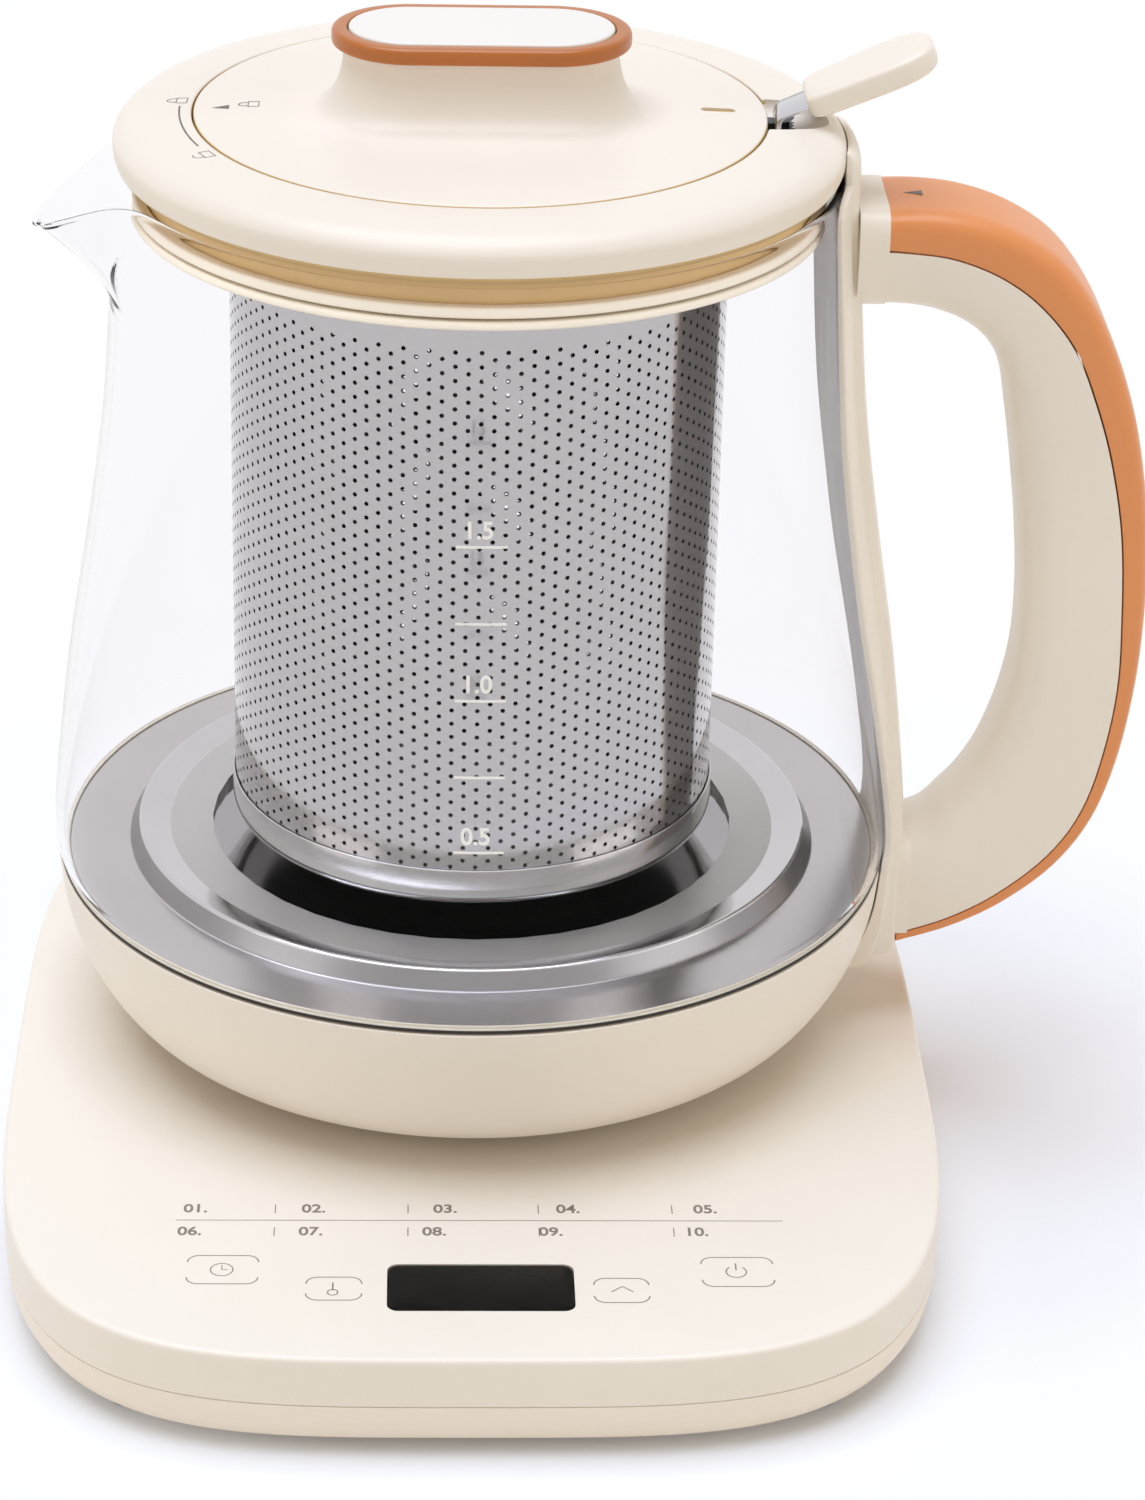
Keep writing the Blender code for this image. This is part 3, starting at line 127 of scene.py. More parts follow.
def lathe(line, steps=160, centre=(0, 0)):
    """Spins an outline of (reach, height) round an upright axis through centre."""
    place = axis + Vector((*centre, 0)) * mm
    points = [place + Vector((r, 0, z)) * mm for r, z in line]
    if line[0][0] > 0 or line[-1][0] > 0:
        points.append(points[0])
    drawn_points(points)
    bpy.ops.mesh.select_all(action="SELECT")
    bpy.ops.mesh.spin(steps=steps, angle=2 * math.pi, center=place, axis=(0, 0, 1))
    return close_mesh()


# %% [markdown]
# ## Lofting through loops
# The base, the handle and the knob aren't round, so they're lofted: a circle of points takes the
# shape of the first loop, and is extruded to each loop after it. Bridging separate loops would
# do as well, but an extrusion can't twist, because each new point stays tied to the one before.

# %% Loft
def choose(item, test, kind="verts"):
    """Selects the points, edges or faces that pass a test, in edit mode."""
    bpy.ops.mesh.select_all(action="DESELECT")
    bm = bmesh.from_edit_mesh(item.data)
    for part in getattr(bm, kind):
        if test(part):
            part.select_set(True)
    bm.select_flush_mode()
    bmesh.update_edit_mesh(item.data)


def loft(loops, ends="capped"):
    """Joins loops of equal length, in mm from the axis. The ends are capped or joined."""
    count = len(loops[0])
    deselect()
    bpy.ops.mesh.primitive_circle_add(vertices=count, radius=mm)
    item = bpy.context.object
    bpy.ops.object.mode_set(mode="EDIT")
    rows = [list(range(count))]
    for number, loop in enumerate(loops):
        if number:
            bpy.ops.mesh.extrude_edges_move()
        bm = bmesh.from_edit_mesh(item.data)
        bm.verts.ensure_lookup_table()
        if number:
            row = [0] * count
            place_of = {index: k for k, index in enumerate(rows[-1])}
            for vertex in bm.verts[rows[-1][0] // count * count + count:]:
                for edge in vertex.link_edges:
                    k = place_of.get(edge.other_vert(vertex).index)
                    if k is not None:
                        row[k] = vertex.index
            rows.append(row)
        for index, point in zip(rows[-1], loop):
            bm.verts[index].co = axis + Vector(point) * mm
        bmesh.update_edit_mesh(item.data)
    first, last = set(rows[0]), set(rows[-1])
    if ends == "joined":
        choose(item, lambda v: v.index in first or v.index in last)
        bpy.ops.mesh.bridge_edge_loops()
    else:
        for row in (first, last):
            choose(item, lambda v: v.index in row)
            bpy.ops.mesh.edge_face_add()
    return close_mesh()


# %% [markdown]
# ## Cutting, softening and dressing
# A hole is cut with a Boolean, whose tool is deleted once the modifier is applied. Edges left
# sharp get a small Bevel. A piece of two finishes has its faces picked by place or by the way they
# look. Dressing a piece gives it its name, finish and the body that it moves with, and hides the
# CAD nodes that it stands for.

# %% Boolean, bevel and dressing
def use(item):
    deselect()
    item.select_set(True)
    bpy.context.view_layer.objects.active = item


def discard(item):
    use(item)
    bpy.ops.object.delete()


def carve(item, tool):
    """Cuts the tool's shape out of a piece."""
    use(item)
    bpy.ops.object.modifier_add(type="BOOLEAN")
    modifier = item.modifiers[-1]
    modifier.object, modifier.operation, modifier.solver = tool, "DIFFERENCE", "EXACT"
    bpy.ops.object.modifier_apply(modifier=modifier.name)
    discard(tool)
    use(item)


def soften(item, width, segments=3, limit=40):
    use(item)
    bpy.ops.object.modifier_add(type="BEVEL")
    modifier = item.modifiers[-1]
    modifier.width, modifier.segments = width * mm, segments
    modifier.limit_method, modifier.angle_limit = "ANGLE", math.radians(limit)
    bpy.ops.object.modifier_apply(modifier=modifier.name)


def block(low, high):
    """A box to cut with or to shape, in mm from the axis."""
    deselect()
    low, high = Vector(low), Vector(high)
    bpy.ops.mesh.primitive_cube_add(size=1)
    bpy.ops.object.mode_set(mode="EDIT")
    bpy.ops.mesh.select_all(action="SELECT")
    bpy.ops.transform.resize(value=(high - low) * mm)
    bpy.ops.transform.translate(value=axis + (low + high) / 2 * mm)
    bpy.ops.object.mode_set(mode="OBJECT")
    return bpy.context.object


def off_axis(face):
    """How far a face's middle lies from the upright axis, in mm."""
    return (face.calc_center_median() - axis).xy.length / mm


def finish_faces(item, finishes, *tests):
    """The first finish goes all over, each other one on the faces that pass its test."""
    for finish in finishes:
        item.data.materials.append(finish)
    use(item)
    bpy.ops.object.mode_set(mode="EDIT")
    for index, test in enumerate(tests, 1):
        choose(item, test, "faces")
        item.active_material_index = index
        bpy.ops.object.material_slot_assign()
    bpy.ops.object.mode_set(mode="OBJECT")


def dress(item, name, finish, body, slot, *nodes, angle=32):
    use(item)
    bpy.ops.object.shade_smooth_by_angle(angle=math.radians(angle))
    item.name = item.data.name = name
    if not item.data.materials:
        item.data.materials.append(finish)
    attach(item, body)
    if nodes:
        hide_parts(*nodes)
    print(f"{name}: {len(item.data.polygons)} faces")


# %% [markdown]
# ## Moulded plastic
# The cream plastic is semi-matt: a soft sheen, a very fine grain from the mould, and a colour that
# drifts a little over a hand's breadth. One noise drives the colour, one the roughness and a fine
# one the bump. All read Object coordinates, which stay still on the piece.

# %% Plastic finishes
def new_finish(name):
    material = bpy.data.materials.new(name)
    material.use_nodes = True
    return material, material.node_tree.nodes["Principled BSDF"]


def node(material, kind, links=(), **values):
    """Adds a node, sets its values by socket name and links its inputs."""
    made = material.node_tree.nodes.new(kind)
    for key, value in values.items():
        socket = made.inputs.get(key.replace("_", " "))
        if socket is not None:
            socket.default_value = value
        else:
            setattr(made, key, value)
    for source, key in links:
        material.node_tree.links.new(source, made.inputs[key])
    return made


def link(material, source, target):
    material.node_tree.links.new(source, target)


def noise(material, coordinates, scale, detail=2.0):
    return node(material, "ShaderNodeTexNoise", [(coordinates, "Vector")], Scale=scale,
                Detail=detail).outputs["Fac"]


def ramp(material, source, dark, light):
    """Turns a noise into a colour between two, with its middle values spread out."""
    made = node(material, "ShaderNodeValToRGB", [(source, "Fac")])
    for stop, position, colour in zip(made.color_ramp.elements, (0.3, 0.7), (dark, light)):
        stop.position, stop.color = position, (*colour, 1)
    return made.outputs["Color"]


def remap(material, source, low, high):
    made = node(material, "ShaderNodeMapRange", [(source, "Value")], To_Min=low, To_Max=high)
    return made.outputs["Result"]


def object_space(material, centre=False):
    """Object coordinates, centred on the kettle's axis where a pattern runs round it."""
    where = node(material, "ShaderNodeTexCoord").outputs["Object"]
    mapping = node(material, "ShaderNodeMapping", [(where, "Vector")])
    if centre:
        mapping.inputs["Location"].default_value = -axis
    return mapping.outputs["Vector"]


def bump(material, shader, source, strength, distance):
    made = node(material, "ShaderNodeBump", [(source, "Height")], Strength=strength,
                Distance=distance * mm)
    link(material, made.outputs["Normal"], shader.inputs["Normal"])


def moulded(name, colour, spread=0.03, roughness=0.38, grain=0.10, gloss=0.5):
    material, shader = new_finish(name)
    where = object_space(material)
    darker = tuple(v * (1 - spread) for v in colour)
    link(material, ramp(material, noise(material, where, 22), darker, colour),
         shader.inputs["Base Color"])
    link(material, remap(material, noise(material, where, 60, 3), roughness - 0.05,
                         roughness + 0.05), shader.inputs["Roughness"])
    bump(material, shader, noise(material, where, 2600, 2), grain, 0.05)
    shader.inputs["Specular IOR Level"].default_value = gloss
    return material


cream = moulded("cream_plastic", (0.915, 0.855, 0.765))
base_cream = moulded("base_cream_plastic", (0.915, 0.865, 0.785), roughness=0.42)
under_cream = moulded("under_cream_plastic", (0.94, 0.86, 0.77), roughness=0.45)
liner_cream = moulded("liner_plastic", (0.86, 0.78, 0.62), roughness=0.5)
pale_cap = moulded("pale_cap_plastic", (0.90, 0.88, 0.85), 0.015, 0.3, 0.05)
orange = moulded("orange_plastic", (0.83, 0.315, 0.105), 0.05, 0.36)
knob_orange = moulded("knob_orange_plastic", (0.50, 0.150, 0.020), 0.05, 0.28)
dark_plastic = moulded("dark_plastic", (0.035, 0.033, 0.032), 0.2, 0.45)
grey_plastic = moulded("grey_plastic", (0.30, 0.29, 0.28), 0.1, 0.5)
print("plastics ready")

# %% [markdown]
# ## Rubber, ink, glass and metal
# Each metal piece shows how it was worked: the basket and its pan are polished, the heating plate
# has a mirror-like well and a duller flange. A brushed grain could be drawn, but from this far it
# only shows as blur, so each steel is a colour and a roughness that a slow noise varies a little.
# The jug is a thin wall of glass with a low IOR, because thick glass would bend the basket behind
# it. Its shadow would come out black, so a Light Path node lets the lamps' rays pass.

# %% Other finishes
def rubber(name, colour, roughness=0.65):
    return moulded(name, colour, 0.08, roughness, 0.2, 0.35)


def ink(name, colour):
    return moulded(name, colour, 0.05, 0.5, 0.02)


def steel(name, colour, roughness, spread=0.05):
    material, shader = new_finish(name)
    shader.inputs["Metallic"].default_value = 1
    where = object_space(material, centre=True)
    darker = tuple(v * (1 - spread) for v in colour)
    link(material, ramp(material, noise(material, where, 30, 3), darker, colour),
         shader.inputs["Base Color"])
    link(material, remap(material, noise(material, where, 25, 2), roughness * 0.85,
                         roughness * 1.15), shader.inputs["Roughness"])
    return material


def clear_glass(name):
    material, shader = new_finish(name)
    where = object_space(material)
    shader.inputs["Transmission Weight"].default_value = 1
    shader.inputs["IOR"].default_value = 1.1
    link(material, ramp(material, noise(material, where, 9), (0.970, 0.967, 0.984),
                        (0.976, 0.973, 0.990)),
         shader.inputs["Base Color"])
    link(material, remap(material, noise(material, where, 40), 0.0, 0.012),
         shader.inputs["Roughness"])
    passing = node(material, "ShaderNodeBsdfTransparent", Color=(0.97, 0.975, 0.975, 1))
    ray = node(material, "ShaderNodeLightPath").outputs["Is Shadow Ray"]
    mixed = node(material, "ShaderNodeMixShader", [(ray, "Fac")])
    link(material, shader.outputs["BSDF"], mixed.inputs[1])
    link(material, passing.outputs["BSDF"], mixed.inputs[2])
    out = material.node_tree.nodes["Material Output"]
    link(material, mixed.outputs["Shader"], out.inputs["Surface"])
    return material


jug_glass = clear_glass("clear_glass")
satin_steel = steel("basket_steel", (0.53, 0.515, 0.51), 0.11)
# A darkened copy of the basket steel, painted shade on the basket's inner faces.
painted_shade_inner_steel = steel("painted_shade_inner_steel", (0.20, 0.19, 0.185), 0.5)
polished_steel = steel("polished_steel", (0.58, 0.56, 0.55), 0.13)
ring_steel = steel("ring_polished_steel", (0.62, 0.605, 0.60), 0.12)
# The plate's ring wall is darkened steel, a painted darker reflection.
painted_reflection_wall_steel = steel("ring_wall_painted_reflection_steel", (0.30, 0.285, 0.28), 0.3)
flange_steel = steel("flange_steel", (0.56, 0.53, 0.52), 0.24)
well_steel = steel("well_steel", (0.40, 0.39, 0.39), 0.08)
bright_steel = steel("bright_steel", (0.60, 0.60, 0.64), 0.12)
screw_steel = steel("screw_steel", (0.42, 0.42, 0.42), 0.3)
brass = steel("contact_brass", (0.72, 0.52, 0.22), 0.25)
element = steel("element_metal", (0.50, 0.48, 0.45), 0.5)
dark_rubber = rubber("dark_rubber", (0.03, 0.028, 0.026))
foot_rubber = rubber("foot_rubber", (0.12, 0.12, 0.12), 0.8)
pale_rubber = rubber("pale_rubber", (0.62, 0.55, 0.44), 0.45)
gasket_rubber = rubber("gasket_rubber", (0.92, 0.82, 0.66), 0.4)
print_ink = ink("warm_grey_ink", (0.24, 0.215, 0.18))
lid_ink = ink("dark_grey_ink", (0.14, 0.12, 0.11))
glass_ink = ink("white_ink", (0.97, 0.97, 0.97))
# Painted warm glow, put in the gaps and in the vent slot in place of their shade.
painted_gap_glow = rubber("amber_painted_gap_glow", (0.66, 0.46, 0.17), 0.5)
# Painted amber shade, for the lid ring's underside, the wall by the lid's seam and the neck collar
# under the ring.
painted_amber_shade = moulded("painted_amber_shade", (0.69, 0.475, 0.215), 0.06, 0.5)


def board_finish():
    """Green solder mask with darker tracks under it."""
    material, shader = new_finish("circuit_board")
    where = object_space(material)
    tracks = node(material, "ShaderNodeTexBrick", [(where, "Vector")], Scale=90,
                  Color1=(0.03, 0.16, 0.08, 1), Color2=(0.02, 0.12, 0.06, 1),
                  Mortar=(0.05, 0.24, 0.12, 1))
    link(material, tracks.outputs["Color"], shader.inputs["Base Color"])
    link(material, remap(material, noise(material, where, 300), 0.3, 0.5),
         shader.inputs["Roughness"])
    return material


def window_finish():
    """Smoked window: black, glossy, with faint mottling in its depth."""
    material, shader = new_finish("dark_window")
    where = object_space(material)
    link(material, ramp(material, noise(material, where, 60), (0.007, 0.007, 0.007),
                        (0.012, 0.012, 0.012)), shader.inputs["Base Color"])
    shader.inputs["Specular IOR Level"].default_value = 0.06
    link(material, remap(material, noise(material, where, 150), 0.06, 0.12),
         shader.inputs["Roughness"])
    return material


board_green = board_finish()
dark_window = window_finish()
print(len(bpy.data.materials), "finishes")

# %% [markdown]
# ## Power base
# The base is a squared ellipse in two covers that meet in a fine seam. Its outline comes from the
# superellipse formula, with the exponent of the CAD. Each cover is lofted through that outline,
# drawn in step by step where an edge is rounded, and keeps its wall, so that the seam is a gap
# and not a drawn line.

# %% Covers of the base
def squared_ellipse(inset, z, sides=176):
    power = 2 / 3.8
    loop = []
    for i in range(sides):
        c, s = math.cos(2 * math.pi * i / sides), math.sin(2 * math.pi * i / sides)
        loop.append((math.copysign(abs(c) ** power, c) * (92 - inset),
                     math.copysign(abs(s) ** power, s) * (116 - inset) - 21, z))
    return loop


def rounded_rectangle(x, y, half_width, half_depth, corner, z, steps=8):
    loop = []
    for quarter, (sx, sy) in enumerate(((1, 1), (-1, 1), (-1, -1), (1, -1))):
        for i in range(steps + 1):
            angle = math.pi / 2 * (quarter + i / steps)
            loop.append((x + sx * (half_width - corner) + corner * math.cos(angle),
                         y + sy * (half_depth - corner) + corner * math.sin(angle), z))
    return loop


top_edge = rounded_line([(2.2, 19.8), (2.2, 11.76), (0, 11.76, 0.3), (0, 22, 1.3), (8, 22)], 7)
top_cover = loft([squared_ellipse(*spot) for spot in top_edge])
carve(top_cover, lathe([(0, 15), (20.3, 15), (20.3, 30), (0, 30)], 128))
carve(top_cover, loft([rounded_rectangle(1, -113, 17.45, 7.85, 2.1, z) for z in (15, 30)]))
carve(top_cover, block((-8.3, 86, 5.9), (8.3, 99.8, 14.9)))
dress(top_cover, "moulded_base_top", base_cream, "base", "cream_plastic", "base_top_cover")

bottom_edge = rounded_line([(3.4, 5.2), (2.2, 11.64), (0, 11.64, 0.3), (0.1, 7.6, 1.0),
                            (2.6, 2.6, 2.2), (9, 2.6)], 7)
bottom_cover = loft([squared_ellipse(*spot) for spot in bottom_edge])
base_screws = [(sx * 74, sy * 80 - 21) for sx in (-1, 1) for sy in (-1, 1)]
for spot in base_screws:
    carve(bottom_cover, lathe([(0, 1), (2.9, 1), (2.9, 4.05), (1.7, 4.05), (1.7, 7), (0, 7)], 40,
                              spot))
carve(bottom_cover, block((-8.3, 86, 5.9), (8.3, 99.8, 14.9)))
dress(bottom_cover, "moulded_base_bottom", under_cream, "base", "cream_plastic",
      "base_bottom_cover")

# %% [markdown]
# ## Feet and screws
# Four rubber feet and ten screws repeat. Each is modelled once and copied, every copy with a mesh
# of its own. A foot is a turned pad with a shallow dished underside. A screw is turned too, and
# its cross recess is cut with two crossed blocks.

# %% Feet
def copy_to(item, move):
    """Copies a finished piece with its own mesh, and moves the mesh, not the object."""
    use(item)
    bpy.ops.object.duplicate()
    made = bpy.context.object
    made.data.transform(Matrix.Translation(Vector(move) * mm))
    return made


foot_line = rounded_line([(0, 0.5), (4.5, 0.5, 0.3), (5.2, 0, 0.3), (8, 0, 0.9), (8, 2.3, 0.2),
                          (0, 2.3)], 4)
foot = lathe(foot_line, 64)
for number, (x, y) in enumerate([(sx * 62, sy * 92 - 21) for sx in (-1, 1) for sy in (-1, 1)]):
    dress(copy_to(foot, (x, y, 0)), f"foot_pad_{number + 1}", foot_rubber, "base",
          "foot_rubber", f"rubber_foot_{number + 1}")
discard(foot)

# %% Screws
def cross_screw(length):
    """A pan-head screw with its head down, from the axis at z 0 up to head and shank."""
    line = rounded_line([(0, 0), (2.6, 0, 0.5), (2.6, 1, 0.1), (1.4, 1), (1.4, length, 0.5),
                         (0, 1 + length)], 3)
    screw = lathe(line, 40)
    for half_x, half_y in ((1.5, 0.3), (0.3, 1.5)):
        carve(screw, block((-half_x, -half_y, -1), (half_x, half_y, 0.6)))
    return screw


screw = cross_screw(12)
for number, (x, y) in enumerate(base_screws):
    dress(copy_to(screw, (x, y, 2.75)), f"base_case_screw_{number + 1}", screw_steel,
          "base", "steel", f"base_screw_{number + 1}")
discard(screw)
screw = cross_screw(10)
shell_screws = [(50.5 * math.cos(math.radians(50 + 120 * i)),
                 50.5 * math.sin(math.radians(50 + 120 * i))) for i in range(3)]
for number, (x, y) in enumerate(shell_screws):
    dress(copy_to(screw, (x, y, 22.45)), f"shell_case_screw_{number + 1}", screw_steel,
          "kettle", "steel", f"shell_screw_{number + 1}")
discard(screw)

# %% [markdown]
# ## Display window and its prints
# The window is a smoked pane, flush in its opening, with an edge that catches the light. Above it
# stand two rows of numbers with a thin divider, and beside it touch keys, which are only printed:
# pairs of curved brackets. Lines of ink could be flat strips. Here a line of points becomes a
# curve with a round bevel and is pressed flat, so its ends and corners are rounded as in print.

# %% Window
pane = loft([rounded_rectangle(1, -113, 17.2 - inset, 7.6 - inset, 2, z)
             for inset, z in ((0, 19.9), (0, 21.75), (0.1, 21.93), (0.3, 22))])
dress(pane, "smoked_window", dark_window, "base", "dark_window", "display_window")


# %% Ink lines, numbers and how they're laid on a surface
def ink_line(points, width, closed=False):
    """A flat line of ink through (x, y) points in mm."""
    spots = [Vector((x, y, 0)) * mm for x, y in points]
    drawn_points(spots + spots[:1] if closed else spots)
    bpy.ops.mesh.select_all(action="SELECT")
    bpy.ops.mesh.remove_doubles(threshold=0.001 * mm)
    bpy.ops.object.mode_set(mode="OBJECT")
    bpy.ops.object.convert(target="CURVE")
    line = bpy.context.object
    line.data.dimensions = "3D"
    line.data.bevel_depth = width / 2 * mm
    line.data.bevel_resolution = 1
    line.data.use_fill_caps = True
    bpy.ops.object.convert(target="MESH")
    return flatten(bpy.context.object)


def flatten(item, thickness=0.05):
    """Presses a print to an even thickness about z 0."""
    heights = [v.co.z for v in item.data.vertices]
    span = max(max(heights) - min(heights), 1e-7)
    use(item)
    bpy.ops.object.mode_set(mode="EDIT")
    bpy.ops.mesh.select_all(action="SELECT")
    bpy.ops.transform.resize(value=(1, 1, thickness * mm / span), center_override=(0, 0, 0))
    bpy.ops.object.mode_set(mode="OBJECT")
    return item


def number_print(text, x, y, size, squeeze=1.0):
    """Plain numerals as a thin solid, centred on x and y."""
    deselect()
    bpy.ops.object.text_add()
    item = bpy.context.object
    item.data.body, item.data.size = text, size * mm
    item.data.align_x, item.data.align_y = "CENTER", "CENTER"
    item.data.extrude, item.data.offset = 0.02 * mm, 0.02 * size * mm
    bpy.ops.object.convert(target="MESH")
    bpy.ops.object.mode_set(mode="EDIT")
    bpy.ops.mesh.select_all(action="SELECT")
    bpy.ops.transform.resize(value=(squeeze, 1, 1), center_override=(0, 0, 0))
    bpy.ops.transform.translate(value=Vector((x, y, 0)) * mm)
    bpy.ops.object.mode_set(mode="OBJECT")
    return flatten(bpy.context.object)


def filled(points):
    """A flat patch of ink with the given outline."""
    deselect()
    bpy.ops.mesh.primitive_circle_add(vertices=len(points), radius=mm, fill_type="NGON")
    item = bpy.context.object
    for vertex, (x, y) in zip(item.data.vertices, points):
        vertex.co = Vector((x, y, 0)) * mm
    bpy.ops.object.mode_set(mode="EDIT")
    bpy.ops.mesh.select_all(action="SELECT")
    bpy.ops.mesh.extrude_region_move(TRANSFORM_OT_translate={"value": (0, 0, 0.05 * mm)})
    bpy.ops.transform.translate(value=(0, 0, -0.025 * mm))
    return close_mesh()


def together(items):
    """Joins prints into one piece."""
    deselect()
    for item in items:
        item.select_set(True)
    bpy.context.view_layer.objects.active = items[0]
    bpy.ops.object.join()
    return bpy.context.object


def lay(item, surface):
    """Moves each point of a flat print, in mm, to its place on a surface."""
    for vertex in item.data.vertices:
        x, y, lift = vertex.co / mm
        vertex.co = axis + Vector(surface(x, y, lift)) * mm
    item.data.update()
    return item


def on_base(x, y, lift):
    return x, y, 22.02 + lift


# %% Numbers, dividers and touch keys
columns = ((-53.1, -30.6, -5.5, 18.0, 44.3), (-53.9, -31.0, -7.6, 14.5, 42.2))
numbers = [number_print(f"{row * 5 + i + 1:02d}.", x, -86 - 8 * row, 4.0, 0.95)
           for row in range(2) for i, x in enumerate(columns[row])]
numbers.append(ink_line([(-56.7, -90), (58.9, -90)], 0.22))
for x in (-37.9, -12.6, 12.3, 37.9):
    numbers += [ink_line([(x, y + 1.5), (x, y - 1.5)], 0.2) for y in (-86, -94)]
dress(lay(together(numbers), on_base), "programme_numbers", print_ink, "base", "grey_plastic")


def bracket_pair(x0, x1, y0, y1):
    """Upper and lower curved bracket of a touch key, open at its sides."""
    corner, pieces = 2.2, []
    for edge, way in ((y1, -1), (y0, 1)):
        arc = [(x1 - corner + corner * math.sin(a), edge + way * corner * (1 - math.cos(a)))
               for a in (math.pi / 2 * k / 6 for k in range(7))]
        mirrored = [(x0 + x1 - x, y) for x, y in reversed(arc)]
        pieces.append(ink_line(mirrored + arc, 0.26))
    return pieces


def ring_of(x, y, radius, start=0, end=360, steps=28):
    return [(x + radius * math.cos(math.radians(start + (end - start) * k / steps)),
             y + radius * math.sin(math.radians(start + (end - start) * k / steps)))
            for k in range(steps + (0 if end - start == 360 else 1))]


keys = []
for x0, x1, y0, y1 in ((-53.8, -40.5, -111.9, -102.3), (-31.5, -21.1, -117.3, -109.6),
                       (22.0, 32.3, -118.0, -109.9), (42.4, 55.9, -112.6, -102.7)):
    keys += bracket_pair(x0, x1, y0, y1)
keys.append(ink_line(ring_of(-47.3, -107.1, 2.1), 0.24, closed=True))
keys.append(ink_line([(-47.3, -105.7), (-47.3, -107.1), (-46.2, -107.1)], 0.22))
keys.append(ink_line([(-26.5, -111.4), (-26.5, -114.0)], 0.3))
keys.append(ink_line(ring_of(-26.5, -114.7, 0.95), 0.26, closed=True))
keys.append(ink_line([(25.3, -114.4), (27.3, -112.6), (29.3, -114.4)], 0.28))
keys.append(ink_line(ring_of(48.9, -107.6, 1.9, 130, 410), 0.26))
keys.append(ink_line([(48.9, -104.8), (48.9, -107.0)], 0.28))
dress(lay(together(keys), on_base), "touch_key_marks", print_ink, "base", "grey_plastic")

# %% [markdown]
# ## Connector and cord gland
# Under the kettle the base carries a round post with a centre socket and a ring socket, so the
# kettle can be set down at any turn. All of it is turned. The gland is a small moulded block,
# so a box is shaped and softened, and its bore is cut through. The cord itself isn't in the
# photograph.

# %% Post, sockets, trim ring and gland
post = lathe(rounded_line([
    (0, 9), (22, 9, 0.3), (22, 15.5), (27, 15.5, 0.3), (27, 19.5, 0.3), (20, 19.5), (20, 34, 1.2),
    (15.6, 34, 0.4), (15.6, 24, 0.2), (12.2, 24, 0.2), (12.2, 34, 0.6), (3.4, 34, 0.8),
    (3.4, 22, 0.2), (0, 22)], 4), 128)
dress(post, "connector_post", grey_plastic, "base", "grey_plastic", "base_connector")
for name, inner, outer, low in (("centre", 2.6, 3.1, 22.3), ("ring", 14.8, 15.3, 24.3)):
    sleeve = lathe(rounded_line([(inner, low, 0.1), (outer, low, 0.1), (outer, low + 7, 0.15),
                                 (inner, low + 7, 0.15)], 3), 96)
    dress(sleeve, f"{name}_sleeve", brass, "base", "contact_brass", f"{name}_socket")
trim = lathe(rounded_line([(20.6, 22.3, 0.2), (28, 22.3, 0.4), (28, 24.7, 1.1), (20.6, 24.7, 0.7)],
                          5), 160)
dress(trim, "loose_trim_ring", cream, "trim_ring", "cream_plastic", "connector_trim_ring")

gland = block((-8, 87, 6.2), (8, 98.5, 14.6))
soften(gland, 1.0, 4)
deselect()
bpy.ops.mesh.primitive_cylinder_add(vertices=64, radius=3.1 * mm, depth=24 * mm,
                                    location=axis + Vector((0, 93, 10.4)) * mm,
                                    rotation=(math.pi / 2, 0, 0))
carve(gland, bpy.context.object)
dress(gland, "moulded_cord_gland", cream, "base", "cream_plastic", "cord_gland")

# %% [markdown]
# ## Lower shell and what carries the kettle
# The bowl under the glass is one smooth turned wall with a ledge inside for the heating plate.
# Below it lie a bottom cover with a foot ring, and the kettle's half of the connector, which show
# when the kettle is lifted.

# %% Bowl, bottom cover and connector
bowl_side = smooth_line([(56, 25), (64, 26), (69.8, 28), (73.6, 31), (77.3, 36), (80.4, 42),
                         (82.9, 50), (84, 58.9)], 6)
bowl_inside = [(81.6, 56.6), (74.5, 56.6), (74.5, 54.6), (80.9, 54.6), (78.1, 42.8), (75.2, 37.2),
               (71.8, 32.6), (68.6, 30.1), (63.4, 28.4), (56, 27.4), (47, 27.4)]
bowl = lathe([(47, 25)] + bowl_side[:-1] + rounded_line(
    [(83.9, 58.2), (84, 58.9, 0.35), (81.6, 58.9, 0.2)], 4)[1:] + bowl_inside, 192)
dress(bowl, "moulded_lower_shell", cream, "kettle", "cream_plastic", "lower_shell")
foot_cover = lathe(rounded_line([
    (30.3, 25.3, 0.3), (45, 25.3, 0.3), (46.5, 22.3, 0.7), (54.5, 22.3, 0.9), (56, 24.7, 0.3),
    (46.7, 24.7), (46.7, 27.4, 0.2), (30.3, 27.4, 0.2)], 4), 160)
for spot in shell_screws:
    carve(foot_cover, lathe([(0, 20), (2.9, 20), (2.9, 23.6), (1.7, 23.6), (1.7, 28), (0, 28)], 40,
                            spot))
dress(foot_cover, "moulded_bottom_cover", under_cream, "kettle", "cream_plastic",
      "shell_bottom_cover")
receiver = lathe(rounded_line([
    (21.4, 25.6, 0.8), (30, 25.6, 0.5), (30, 27.7), (34, 27.7, 0.3), (34, 29.7, 0.3), (30, 29.7),
    (26, 47.3, 0.8), (0, 47.3), (0, 36.5), (21.4, 36.5, 0.4)], 4), 128)
dress(receiver, "connector_receiver", dark_plastic, "kettle", "dark_plastic", "kettle_connector")
pin = lathe(rounded_line([(0, 26), (2.3, 26, 1.1), (2.3, 36.2, 0.1), (0, 36.2)], 5), 64)
dress(pin, "round_centre_pin", brass, "kettle", "contact_brass", "centre_pin")
contact = lathe(rounded_line([(13.2, 27, 0.3), (14.3, 27, 0.3), (14.3, 36.2), (13.2, 36.2)], 3), 96)
dress(contact, "round_ring_contact", brass, "kettle", "contact_brass", "ring_contact")

